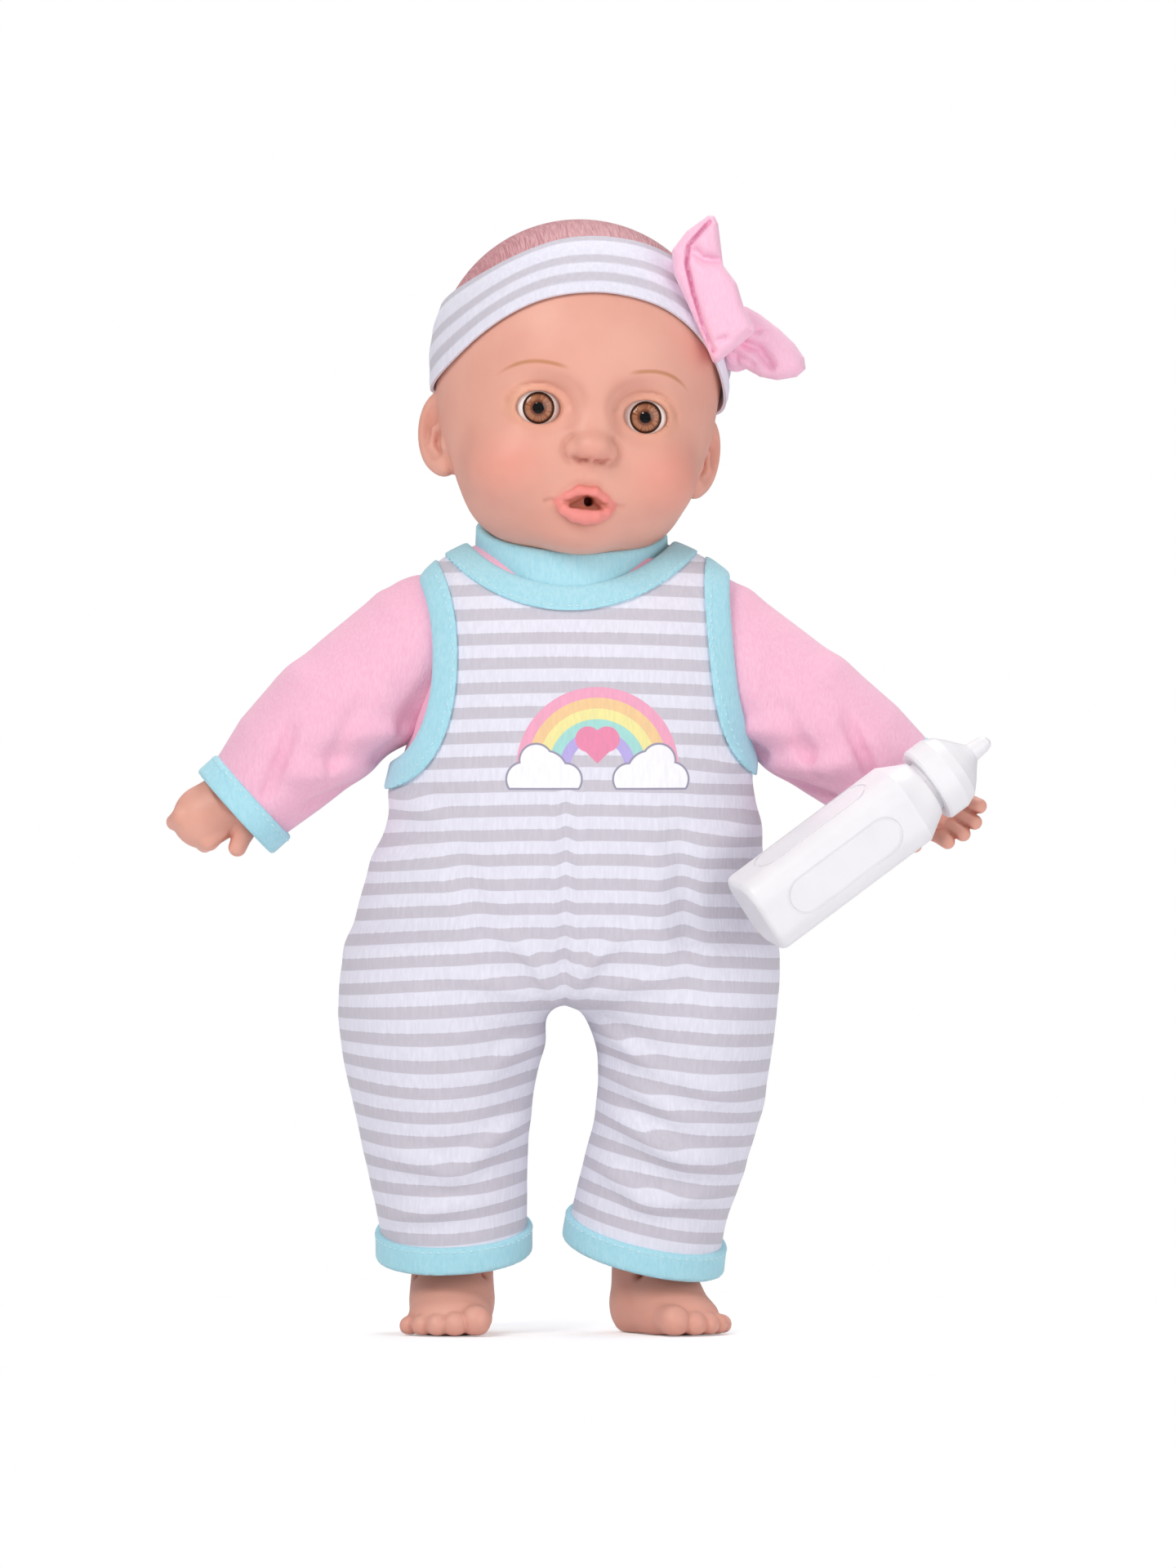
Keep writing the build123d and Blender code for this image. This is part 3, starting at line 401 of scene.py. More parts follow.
setInputs(tree, tree.nodes["Material Output"], {"Surface": surface})
bpy.ops.mesh.primitive_plane_add(size=6)
floor = bpy.context.object
floor.name = "floor"
floor.data.materials.append(floorMaterial)

# ---- finishes

# skin tones; crease is a painted shade for the hollows, and scalp and strand paint the top of the head
# darker as shade over its moulded hair
skinToneAndShade = {
    "base": "#e6aa98", "mottle": "#e2a391", "crease": "#bf7461", "blush": "#e59484", "lips": "#ec9088",
    "scalp": "#bd8086", "strand": "#cf969a", "brow": "#b97a45", "lid": "#e6a678", "mouth": "#cf7c64",
}


def vinylSkin(name, face=False):
    # rotocast PVC: soft sheen, faint mottling, sprayed blush, and painted shade darkening its creases
    material, tree, shader = newMaterial(name)
    coords = addNode(tree, "TexCoord").outputs["Object"]
    mottle = addNode(tree, "TexNoise", {"Vector": coords, "Scale": 60, "Detail": 3})
    colour = paint(tree, skinToneAndShade["base"], skinToneAndShade["mottle"], mottle, (0.3, 0.75))
    if face:
        colour, relief = paintFace(tree, colour)
    else:
        grain = addNode(tree, "TexNoise", {"Vector": coords, "Scale": 900})
        relief = {"Height": grain, "Strength": 0.06, "Distance": 0.0004}
    # painted shade: the skin turns to the crease colour where the shape closes in around it
    hollow = addNode(tree, "Attribute", attribute_name="hollow").outputs["Fac"]
    setInputs(tree, shader, {
        "Base Color": paint(tree, colour, skinToneAndShade["crease"], hollow, (0.06, 0.7), 0.75),
        "Roughness": 0.46, "Specular IOR Level": 0.35, "Subsurface Weight": 0.12,
        "Subsurface Radius": (1.0, 0.35, 0.25), "Subsurface Scale": 0.004,
        "Normal": addNode(tree, "Bump", relief),
    })
    return material


def paintFace(tree, colour):
    # sprayed tones, lips, brows, the scalp painted darker as shade over its hair, and the relief of the hair
    local = addNode(tree, "Attribute", attribute_name="local").outputs["Vector"]
    x, y, z = addNode(tree, "SeparateXYZ", [local]).outputs
    side = addNode(tree, "Math", [x], operation="ABSOLUTE")
    front = addNode(tree, "MapRange", [y, -20.0, -34.0], interpolation_type="SMOOTHSTEP")
    place = addNode(tree, "CombineXYZ", [side, 0.0, z])
    # sprayed on both sides: tone, middle, half width and height, where it starts to fade, strength
    for tone, across, up, wide, tall, full, share in (
        ("blush", 26.0, -26.0, 18.0, 16.0, 0.0, 0.62),
        ("blush", 0.0, -21.0, 8.0, 7.0, 0.0, 0.25),
        ("lid", 19.0, -7.5, 13.5, 10.5, 0.25, 0.4),
    ):
        moved = addNode(tree, "VectorMath", [place, (across, 0, up)], operation="SUBTRACT")
        scaled = addNode(tree, "VectorMath", [moved, (wide, 1, tall)], operation="DIVIDE")
        ring = addNode(tree, "VectorMath", [scaled], operation="LENGTH")
        spot = addNode(tree, "MapRange", [ring, 1.0, full], interpolation_type="SMOOTHSTEP")
        sprayed = addNode(tree, "Math", [spot, front], operation="MULTIPLY")
        colour = paint(tree, colour, skinToneAndShade[tone], sprayed, share=share)
    for key, tone in (("lips", "lips"), ("inside", "mouth")):
        mask = addNode(tree, "Attribute", attribute_name=key).outputs["Fac"]
        colour = paint(tree, colour, skinToneAndShade[tone], mask)
    # brows: two sprayed arcs that bend more on the outside
    off = addNode(tree, "Math", [side, 18.5], operation="SUBTRACT")
    bend = addNode(tree, "Math", [off, 0.0008, 0.024], operation="MULTIPLY_ADD")
    squared = addNode(tree, "Math", [off, off], operation="MULTIPLY")
    away = addNode(tree, "Math", [squared, bend, z], operation="MULTIPLY_ADD")
    for operation, value in (("SUBTRACT", 6.3), ("ABSOLUTE", 0.0)):
        away = addNode(tree, "Math", [away, value], operation=operation)
    brow = front
    for value, low, high in ((away, 1.05, 0.1), (side, 8.5, 14.0), (side, 32.0, 25.0)):
        part = addNode(tree, "MapRange", [value, low, high], interpolation_type="SMOOTHSTEP")
        brow = addNode(tree, "Math", [brow, part], operation="MULTIPLY")
    colour = paint(tree, colour, skinToneAndShade["brow"], brow, share=0.7)
    # the scalp painted darker as shade, streaked in fine strands of its moulded hair
    scalp = addNode(tree, "Attribute", attribute_name="scalp").outputs["Fac"]
    combed = addNode(tree, "Mapping", {"Vector": local, "Scale": (1.3, 0.12, 0.12)})
    strands = addNode(tree, "TexNoise", {"Vector": combed, "Scale": 1.0, "Detail": 3})
    shadedScalp = paint(tree, skinToneAndShade["scalp"], skinToneAndShade["strand"], strands, (0.35, 0.65))
    colour = addNode(tree, "Mix", {0: scalp, 6: colour, 7: shadedScalp}, data_type="RGBA")
    height = addNode(tree, "Math", [strands, scalp], operation="MULTIPLY")
    return colour, {"Height": height, "Strength": 0.6, "Distance": 0.0014}


def clothFinish(tree, shader, colour, columns, roughness, sheen):
    setInputs(tree, shader, {
        "Base Color": colour, "Roughness": roughness, "Specular IOR Level": 0.2,
        "Sheen Weight": sheen, "Sheen Roughness": 0.5,
        "Normal": addNode(tree, "Bump", {"Height": columns, "Strength": 0.35, "Distance": 0.0006}),
    })


def knit(name, colour, shade, deep=None, sheen=0.25, rib=1.0):
    # cotton jersey: columns of stitches about 1 mm apart, drawn a little coarse to show; its folds get a
    # painted shade in the deep colour
    material, tree, shader = newMaterial(name)
    coords = addNode(tree, "TexCoord").outputs["Object"]
    wales = addNode(tree, "Mapping", {"Vector": coords, "Scale": (1500 * rib, 1500 * rib, 420)})
    columns = addNode(tree, "TexNoise", {"Vector": wales, "Scale": 1.0})
    cloud = addNode(tree, "TexNoise", {"Vector": coords, "Scale": 35})
    hollow = addNode(tree, "Attribute", attribute_name="hollow").outputs["Fac"]
    mixed = paint(tree, shade, colour, columns, (0.25, 0.75))
    mixed = paint(tree, mixed, shade, cloud, (0.35, 0.8), 0.35)
    # painted shade: the deep colour laid into folds and creases
    mixed = paint(tree, mixed, deep or shade, hollow, (0.08, 0.8), 0.55)
    clothFinish(tree, shader, mixed, columns, 0.88, sheen)
    return material


# the stripe dyes and rib colour, and shadow: a painted shade for the folds
stripeDyeAndShade = {"white": "#e9e7f3", "grey": "#cdc8d2", "rib": "#8b8796", "shadow": "#a9a3b6"}


def stripedKnit(name, pitch=None, bands=()):
    # yarn-dyed jersey, read from the cloth's own stripe attribute: even courses of one pitch in mm with
    # the chest print over them, or grey bands given as a middle and half a width in shares of the cloth
    material, tree, shader = newMaterial(name)
    stripe = addNode(tree, "Attribute", attribute_name="stripe").outputs["Fac"]
    coords = addNode(tree, "TexCoord").outputs["Object"]
    wales = addNode(tree, "Mapping", {"Vector": coords, "Scale": (1000, 1000, 170)})
    columns = addNode(tree, "TexNoise", {"Vector": wales, "Scale": 1.0})
    if pitch:
        edge = addNode(tree, "Math", [columns, 0.5, stripe], operation="MULTIPLY_ADD")
        for operation, value in (
            ("SUBTRACT", 0.25), ("DIVIDE", pitch), ("FRACT", 0), ("SUBTRACT", 0.5), ("ABSOLUTE", 0)
        ):
            edge = addNode(tree, "Math", [edge, value], operation=operation)
        white = addNode(tree, "MapRange", [edge, 0.215, 0.265], interpolation_type="SMOOTHSTEP")
    else:
        white = 1.0
        for centre, half in bands:
            off = addNode(tree, "Math", [stripe, centre], operation="SUBTRACT")
            off = addNode(tree, "Math", [off], operation="ABSOLUTE")
            part = addNode(
                tree, "MapRange", [off, half - 0.025, half + 0.025], interpolation_type="SMOOTHSTEP"
            )
            white = addNode(tree, "Math", [white, part], operation="MULTIPLY")
    colour = paint(tree, stripeDyeAndShade["grey"], stripeDyeAndShade["white"], white)
    if pitch:
        colour = chestPrint(tree, colour)
    hollow = addNode(tree, "Attribute", attribute_name="hollow").outputs["Fac"]
    colour = paint(tree, colour, stripeDyeAndShade["rib"], columns, (0.8, 0.3), 0.12)
    # painted shade: the shadow colour laid into folds and creases
    colour = paint(tree, colour, stripeDyeAndShade["shadow"], hollow, (0.05, 0.8), 0.5)
    clothFinish(tree, shader, colour, columns, 0.9, 0.2)
    return material


def chestPrint(tree, colour):
    # a plain rainbow between two clouds with a heart over it, screen printed
    chest = addNode(tree, "Attribute", attribute_name="chest").outputs["Vector"]
    x, z, there = addNode(tree, "SeparateXYZ", [chest]).outputs
    flat = addNode(tree, "CombineXYZ", [x, z])

    def disc(across, up, radius):
        reach = addNode(tree, "VectorMath", [flat, (across, up, 0)], operation="DISTANCE")
        return addNode(tree, "Math", [reach, radius], operation="SUBTRACT")

    def ink(under, shade, value, ramp, mask=there):
        part = addNode(tree, "MapRange", [value, *ramp], interpolation_type="SMOOTHSTEP")
        return paint(tree, under, shade, addNode(tree, "Math", [part, mask], operation="MULTIPLY"))

    arch = disc(0.0, -8.0, 0.0)
    above = addNode(tree, "MapRange", [z, -9.0, -8.6], interpolation_type="SMOOTHSTEP")
    above = addNode(tree, "Math", [above, there], operation="MULTIPLY")
    for radius, shade in (
        (24.0, "#f3a9c4"), (20.6, "#f6cf9a"), (17.2, "#f5eba2"), (13.8, "#a9dfd8"), (10.4, "#bcaee6")
    ):
        band = addNode(tree, "Math", [arch, radius], operation="SUBTRACT")
        band = addNode(tree, "Math", [band], operation="ABSOLUTE")
        colour = ink(colour, shade, band, (1.85, 1.65), above)
    foot = addNode(tree, "Math", [-14.5, z], operation="SUBTRACT")
    for side in (-1, 1):
        puff = 99.0
        for across, up, radius in (
            (16.5, -9.5, 7.0), (10.0, -11.5, 5.0), (23.5, -11.5, 5.4), (19.5, -5.5, 5.2)
        ):
            puff = addNode(tree, "Math", [puff, disc(side * across, up, radius)], operation="MINIMUM")
        puff = addNode(tree, "Math", [puff, foot], operation="MAXIMUM")
        colour = ink(colour, "#9d98ad", puff, (0.5, 0.25))
        colour = ink(colour, "#fbfafd", puff, (-0.15, -0.4))
    across = addNode(tree, "Math", [x], operation="ABSOLUTE")
    down = addNode(tree, "Math", [addNode(tree, "Math", [z, 0.6])], operation="ABSOLUTE")
    tip = addNode(tree, "Math", [addNode(tree, "Math", [across, down]), 5.9], operation="SUBTRACT")
    top = addNode(tree, "Math", [z, 1.0], operation="SUBTRACT")
    tip = addNode(tree, "Math", [tip, top], operation="MAXIMUM")
    heart = addNode(tree, "Math", [disc(-3.0, 1.2, 4.0), disc(3.0, 1.2, 4.0)], operation="MINIMUM")
    heart = addNode(tree, "Math", [heart, tip], operation="MINIMUM")
    return ink(colour, "#ee8fb0", heart, (0.2, -0.1))


def plainPlastic(name, colour, shade, roughness):
    # moulded plastic with the faint flow marks and grain of its mould
    material, tree, shader = newMaterial(name)
    coords = addNode(tree, "TexCoord").outputs["Object"]
    flow = addNode(tree, "TexNoise", {"Vector": coords, "Scale": 45, "Detail": 3})
    grain = addNode(tree, "TexNoise", {"Vector": coords, "Scale": 1400})
    setInputs(tree, shader, {
        "Base Color": paint(tree, colour, shade, flow, (0.35, 0.8)), "Roughness": roughness,
        "Normal": addNode(tree, "Bump", {"Height": grain, "Strength": 0.08, "Distance": 0.0003}),
    })
    return material


def platedMetal(name, colour, shade):
    # plated steel with the fine streaks of its drawing
    material, tree, shader = newMaterial(name)
    coords = addNode(tree, "TexCoord").outputs["Object"]
    drawn = addNode(tree, "Mapping", {"Vector": coords, "Scale": (900, 900, 60)})
    streak = addNode(tree, "TexNoise", {"Vector": drawn, "Scale": 1.0})
    setInputs(tree, shader, {
        "Base Color": paint(tree, colour, shade, streak), "Metallic": 1.0, "Roughness": 0.3,
        "Normal": addNode(tree, "Bump", {"Height": streak, "Strength": 0.1, "Distance": 0.0002}),
    })
    return material


headVinyl = vinylSkin("rotocastVinylFace", face=True)
limbVinyl = vinylSkin("rotocastVinyl")
romperKnit = stripedKnit("stripedJersey", pitch=7.8)
bandKnit = stripedKnit("stripedHeadbandJersey", bands=((0.02, 0.09), (0.47, 0.075), (0.77, 0.075)))
# a third colour given to a knit is the painted shade of its folds
pinkKnit = knit("pinkJersey", "#f5c1d5", "#f1b4cd", "#dd86ab")
cyanKnit = knit("cyanRibBinding", "#b2e0eb", "#a3d8e6", "#74b9cd", rib=0.8)
bowCloth = knit("pinkPoplin", "#fccbe0", "#f9bfd8", "#d8689c", sheen=0.35, rib=1.3)
bodyCloth = knit("fleshCottonCloth", "#ecc7b6", "#dfb3a1", rib=0.7)
cyanThread = knit("cyanThread", "#d5f0f6", "#bfe6ef")
print("finishes made")

# ---- head

sides = {"right": -1, "left": 1}
head = {"centre": (3.5, 0.0, 302.0), "roll": 5.0, "yaw": 8.0, "step": 0.75, "neck": (2.0, 3.0, 17.8)}
yaw = Matrix.Rotation(math.radians(head["yaw"]), 3, "Z")
headTurn = np.array(yaw @ Matrix.Rotation(math.radians(head["roll"]), 3, "Y"))
# the ball, the iris in its recess and the dome of the lens; the opening is half a width, then its
# half heights above and below the middle
eye = {
    "at": (17.2, -33.0, -8.3), "ball": 8.5, "iris": 5.1, "floor": 6.0, "dome": 1.75,
    "lid": (9.9, 9.75, 9.6), "socket": 8.75, "opening": (7.2, 5.5, 5.2),
}


def toHead(p):
    return ((p - np.array(head["centre"])) @ headTurn).astype(np.float32)


def fromHead(p):
    return np.asarray(p) @ headTurn.T + np.array(head["centre"])


def crease(p, points, width):
    # 1 along a line drawn from the front, 0 away from it
    x, z = p[..., 0], p[..., 2]
    best = np.full(x.shape, 1e9, np.float32)
    for (ax, az), (bx, bz) in zip(points, points[1:]):
        t = np.clip(((x - ax) * (bx - ax) + (z - az) * (bz - az)) / ((bx - ax) ** 2 + (bz - az) ** 2), 0, 1)
        best = np.minimum(best, np.hypot(x - ax - t * (bx - ax), z - az - t * (bz - az)))
    return np.exp(-((best / width) ** 2))


def skullField(p):
    body = egg(p, (0, 0, 8), (46, 49, 46))
    body = near(body, egg(p, (0, -4, -14), (41.5, 40, 24)), 10)
    return near(body, egg(p, (0, -8, -22), (37, 36, 30)), 8)


def lipField(q):
    upper = [(-9.0, -41.2, -36.9), (-5.8, -43.3, -35.4), (-2.4, -44.6, -33.4), (0, -44.7, -33.6)]
    lower = [(-8.6, -41.2, -37.6), (-6.6, -42.6, -39.6), (-3.4, -43.8, -41.0), (0, -44.1, -41.4)]
    made = None
    for line, radii in ((upper, [0.7, 1.1, 1.4, 1.35]), (lower, [0.8, 1.9, 2.3, 2.4])):
        line = line + [(-x, y, z) for x, y, z in reversed(line[:-1])]
        lip = chain(q, line, radii + radii[-2::-1])
        made = lip if made is None else near(made, lip, 0.8)
    return made


def earField(q, side):
    # a cupped disc that faces forwards and out: rim, bowl, inner ridge and lobe
    d = q - np.array((side * 42.6, 3.0, -18.0), np.float32)
    out = d[..., 0] * side
    wide = out * 0.72 + d[..., 1] * 0.69
    deep = out * 0.69 - d[..., 1] * 0.72
    e = np.stack([wide - 0.06 * d[..., 2], deep, d[..., 2]], -1)
    ear = egg(e, (0, 0, 0), (8.0, 3.6, 13.0))
    ear = near(ear, egg(e, (-2.6, 0.2, -9.5), (4.2, 3.2, 4.4)), 2.0)
    ear = carve(ear, egg(e, (-0.4, 3.8, 0.4), (5.3, 3.3, 9.4)), 1.2)
    ridge = [(-3.6, 1.6, 3.4), (0.6, 1.2, 1.0), (1.8, 1.2, -4.6), (-1.6, 1.6, -7.4)]
    ear = near(ear, chain(e, ridge, [1.0, 1.1, 1.1, 1.2]), 1.4)
    return near(ear, egg(e, (-5.0, 2.2, -3.4), (1.9, 2.2, 3.0)), 1.6)


def faceField(q):
    body = skullField(q)
    for side in (-1, 1):
        body = near(body, egg(q, (side * 17, -13, -29.5), (18.5, 23, 19)), 7)       # jowls
        body = near(body, egg(q, (side * 20, -28.0, -27), (15.5, 15, 13)), 8)       # cheeks
    body = near(body, egg(q, (0, -33.0, -36), (13, 9.5, 10)), 7)                     # muzzle
    body = near(body, egg(q, (0, -28.5, -45.0), (11, 9.0, 7.0)), 7)                  # chin
    body = near(body, egg(q, (0, -12, -38.0), (28, 23, 13.5)), 9)                    # under the jaw
    for side in (-1, 1):
        body = carve(body, egg(q, (side * 16.5, -48.5, -7), (12, 8, 9)), 5)          # sockets
    body = near(body, rod(q, (0, -38.5, -3), (0, -43.2, -15.5), 4.4, 4.6), 6)        # nose
    body = near(body, egg(q, (0, -46.6, -19.0), (6.2, 5.9, 4.8)), 2.0)
    front = np.clip((-36 - q[..., 1]) / 3, 0, 1)
    for side in (-1, 1):
        body = near(body, egg(q, (side * 5.4, -43.4, -20.0), (3.5, 4.5, 3.8)), 1.8)
        wing = [
            (side * 6.6, -16.4), (side * 8.6, -18.4), (side * 9.1, -21.0), (side * 8.0, -23.4),
            (side * 6.2, -24.4),
        ]
        nostril = [(side * 1.4, -23.3), (side * 3.6, -23.8), (side * 5.6, -22.8)]
        body = body + front * (0.5 * crease(q, wing, 0.9) + 0.8 * crease(q, nostril, 0.7))
    body = carve(body, rod(q, (0, -45.8, -28.0), (0, -45.9, -31.4), 1.2, 1.4), 1.8)  # philtrum
    body = near(body, lipField(q), 1.6)
    # the parted lips: a low triangle, wide at its foot
    gape = np.abs(q[..., 0]) * 0.6 + (q[..., 2] + 34.4) * 0.8
    gape = both(both(gape, -38.9 - q[..., 2], 1.2), np.abs(q[..., 1] + 45.5) - 4.9, 1.2)
    body = carve(body, gape, 0.8)
    for side in (-1, 1):
        dimple = [(side * 9.6, -36.9), (side * 12.2, -37.4)]
        body = body + front * 0.6 * crease(q, dimple, 0.9)                           # corners
    throat = np.maximum(np.hypot(q[..., 0] - 1.2, q[..., 2] + 36.5) - 1.5, np.abs(q[..., 1] + 38.5) - 7.0)
    body = carve(body, throat, 0.3)
    for side in (-1, 1):
        # lids over the eyeball, the opening, then the socket it sits in
        at = (side * eye["at"][0], *eye["at"][1:])
        body = near(body, egg(q, at, eye["lid"]), 2.4)
        wide, above, below = eye["opening"]
        tall = np.where(q[..., 2] > at[2], above, below)
        ring = np.hypot((q[..., 0] - at[0]) / wide, (q[..., 2] - at[2]) / tall)
        opening = np.maximum((ring - 1) * 5.8, q[..., 1] + 30)
        fold = np.abs((ring - 1.42) * 5.8)
        upper = np.clip((q[..., 2] - at[2] + 1.5) / 3, 0, 1) * (q[..., 1] < -30)
        body = body + upper * 0.6 * np.exp(-((fold / 0.8) ** 2))
        body = carve(body, opening, 0.7)
        body = carve(body, egg(q, at, [eye["socket"]] * 3), 0.2)
        body = near(body, earField(q, side), 2.0)
    return body


def headField(p):
    q = toHead(p)
    x, y, radius = head["neck"]
    neck = np.maximum(np.hypot(p[..., 0] - x, p[..., 1] - y) - radius, np.abs(p[..., 2] - 252) - 16)
    return near(faceField(q), neck, 4)


verts, faces = meshField(headField, (-60, -62, 232), (66, 58, 362), head["step"])
local = toHead(verts.astype(np.float32))
lips = np.clip(1 - (lipField(local) - 0.1) / 0.9, 0, 1) * (np.abs(local[:, 0]) < 10.5)
deep = np.hypot(local[:, 0] / 5.6, (local[:, 2] + 36.8) / 3.8) < 1
inside = np.clip((local[:, 1] + 43.4) / 1.6, 0, 1) * deep * (local[:, 1] < -28)
# above the hairline the scalp takes its painted shade and moulded hair
hairline = 34 - 0.62 * (local[:, 1] + 42)
scalp = np.clip((local[:, 2] - hairline) / 5, 0, 1) * np.clip((46 - np.abs(local[:, 0])) / 6, 0, 1)
hollow = hollowOf(headField, verts, faces)
painted = {"local": local, "lips": lips, "inside": inside, "scalp": scalp, "hollow": hollow}
headShell = makeObject("headVinyl", verts, faces, headVinyl, painted)
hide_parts("head_shell")
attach(headShell, "head")
print("head made", len(faces))

# ---- eyes: white ball, printed iris in its recess, clear dome over it

ballArc = [math.radians(a) for a in range(180, 0, -8)]
rim = math.sqrt(eye["ball"] ** 2 - (eye["iris"] + 0.05) ** 2)
rimAngle = math.atan2(eye["iris"] + 0.05, rim)
whiteProfile = [
    (eye["ball"] * math.sin(a), eye["ball"] * math.cos(a)) for a in ballArc if a > rimAngle + 0.05
]
whiteProfile[0] = (0.0, -eye["ball"])
whiteProfile += [(eye["iris"] + 0.05, rim), (eye["iris"] + 0.05, eye["floor"]), (0.0, eye["floor"])]
irisProfile = [
    (0.0, eye["floor"] + 0.03), (eye["iris"], eye["floor"] + 0.03), (eye["iris"], eye["floor"] + 0.32)
]
irisProfile += [
    (eye["iris"] - 0.4, eye["floor"] + 0.34), (2.0, eye["floor"] + 0.12), (0.0, eye["floor"] + 0.12)
]
lensFoot = eye["floor"] + 0.42
lensProfile = [(0.0, lensFoot), (eye["iris"], lensFoot)]
lensProfile += [
    (eye["iris"] * math.cos(a), rim + eye["dome"] * math.sin(a)) for a in np.linspace(0.0, math.pi / 2, 12)
]
lensProfile[-1] = (0.0, rim + eye["dome"])


def eyePiece(name, profile, signs, material, nodeNames):
    verts, faces = [], []
    for side in signs:
        v, f = lathe(profile)
        faces += [[i + sum(map(len, verts)) for i in face] for face in f]
        verts.append(fromHead(v + np.array((side * eye["at"][0], *eye["at"][1:]))))
    piece = makeObject(name, np.concatenate(verts), faces, material)
    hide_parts(*nodeNames)
    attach(piece, "head")


def irisMaterial(side):
    # printed iris: dark rim, brown streaks, black pupil
    material, tree, shader = newMaterial("printedIris" + ("Left" if side > 0 else "Right"))
    coords = addNode(tree, "TexCoord").outputs["Object"]
    x, y, z = eye["at"]
    pupil = tuple(toRow(fromHead((side * x, y - eye["floor"], z))))
    place = addNode(tree, "VectorMath", [coords, pupil], operation="SUBTRACT")
    radius = addNode(tree, "VectorMath", [place], operation="LENGTH")
    radius = addNode(tree, "Math", [radius, 1000], operation="MULTIPLY")
    around = addNode(tree, "VectorMath", [place], operation="NORMALIZE")
    streak = addNode(tree, "TexNoise", {"Vector": around, "Scale": 9, "Detail": 3})
    brown = paint(tree, "#8a5138", "#b07a58", streak, (0.35, 0.65))
    for shade, ramp in (("#2c150d", (3.9, 4.7)), ("#71402b", (3.1, 2.2)), ("#060404", (2.0, 1.75))):
        brown = paint(tree, brown, shade, radius, ramp)
    setInputs(tree, shader, {"Base Color": brown, "Roughness": 0.7, "Specular IOR Level": 0.0})
    return material


def lensMaterial():
    # polished acrylic: clear from the front, with a mirror sheen that grows towards the edge
    material, tree, shader = newMaterial("clearAcrylicLens")
    setInputs(tree, shader, {"Base Color": (1, 1, 1, 1), "Metallic": 1.0, "Roughness": 0.04})
    path = addNode(tree, "LightPath")
    behind = addNode(tree, "NewGeometry").outputs["Backfacing"]
    rays = [path.outputs["Is Shadow Ray"], path.outputs["Is Diffuse Ray"]]
    passing = addNode(tree, "Math", rays, operation="MAXIMUM")
    passing = addNode(tree, "Math", [passing, behind], operation="MAXIMUM")
    stopped = addNode(tree, "Math", [1.0, passing], operation="SUBTRACT")
    sheen = addNode(tree, "Math", [addNode(tree, "Fresnel", {"IOR": 1.42}), stopped], operation="MULTIPLY")
    mixed = addNode(tree, "MixShader", [sheen, addNode(tree, "BsdfTransparent"), shader])
    setInputs(tree, tree.nodes["Material Output"], {"Surface": mixed})
    return material


eyeWhite = plainPlastic("polishedEyeWhite", "#f7f4f2", "#f3efec", 0.12)
for side, hand in ((-1, "right"), (1, "left")):
    eyePiece("eyeWhite" + hand.capitalize(), whiteProfile, [side], eyeWhite, ["eye_white_" + hand])
    eyePiece("eyeIris" + hand.capitalize(), irisProfile, [side], irisMaterial(side), ["eye_iris_" + hand])
eyePiece("eyeLenses", lensProfile, (-1, 1), lensMaterial(), ["eye_lenses"])


# ---- clothes: fields for the trunk, the legs and the sleeves

trunkRows = [
    # height, middle, half width, half depth
    (96, -2.0, 50, 22), (104, -2.5, 64, 29), (112, -2.5, 68.5, 33), (121, -1.8, 68.3, 35),
    (133, -1.2, 66.2, 36.5), (147, 0.0, 64.0, 37.5), (157, 1.8, 60.8, 37.5), (168, 2.5, 58.6, 37),
    (180, 1.5, 57.6, 35.5), (190, 3.0, 55.6, 34), (205, 4.8, 53.2, 32), (222, 5.5, 52.0, 30),
    (235, 4.5, 52.0, 27), (243, 3.0, 50.0, 23), (248, 2.5, 43, 19), (252, 2.0, 36, 14),
    (255, 2.0, 29, 9),
]
legRows = {
    "right": [
        (8, -35.8, 23.4, 23.0), (34, -35.9, 23.4, 23.5), (50, -37.8, 25.3, 25), (70, -39.5, 27.8, 28),
        (87, -39.9, 31.4, 31), (105, -37.2, 36.2, 34), (118, -34.5, 34, 33),
    ],
    "left": [
        (8, 23.4, 24.6, 23.0), (22, 24.2, 24.8, 23.5), (34, 25.6, 25.0, 23.5), (50, 30.2, 26.0, 25),
        (60, 33.3, 26.2, 26.5), (72, 36.4, 26.6, 28), (87, 38.0, 27.4, 31), (105, 37.0, 30.8, 34),
        (118, 34, 32, 33),
    ],
}


def sectionField(p, rows, low, high, power=2.0, corner=6.0):
    z = p[..., 2]
    table = np.array(rows, float)
    cx, a, b = (np.interp(z, table[:, 0], table[:, k]) for k in (1, 2, 3))
    x, y = np.abs(p[..., 0] - cx) / a, np.abs(p[..., 1]) / b
    k0 = (x**power + y**power) ** (1 / power)
    k1 = np.sqrt((x / a) ** 2 + (y / b) ** 2) / np.maximum(np.hypot(x, y), 1e-6)
    side = (k0 - 1) / np.maximum(k1, 1e-6)
    return both(both(side, low - z, corner), z - high, corner)


def smoothRows(rows):
    # rounds the corners of a table of sections
    table = np.array(rows, float)
    z = np.linspace(table[0, 0], table[-1, 0], 60)
    out = [z]
    for k in (1, 2, 3):
        v = np.interp(z, table[:, 0], table[:, k])
        for _ in range(6):
            v[1:-1] = 0.25 * v[:-2] + 0.5 * v[1:-1] + 0.25 * v[2:]
        out.append(v)
    return np.stack(out, 1)


trunkTable = smoothRows(trunkRows)
legTables = {side: smoothRows(rows) for side, rows in legRows.items()}

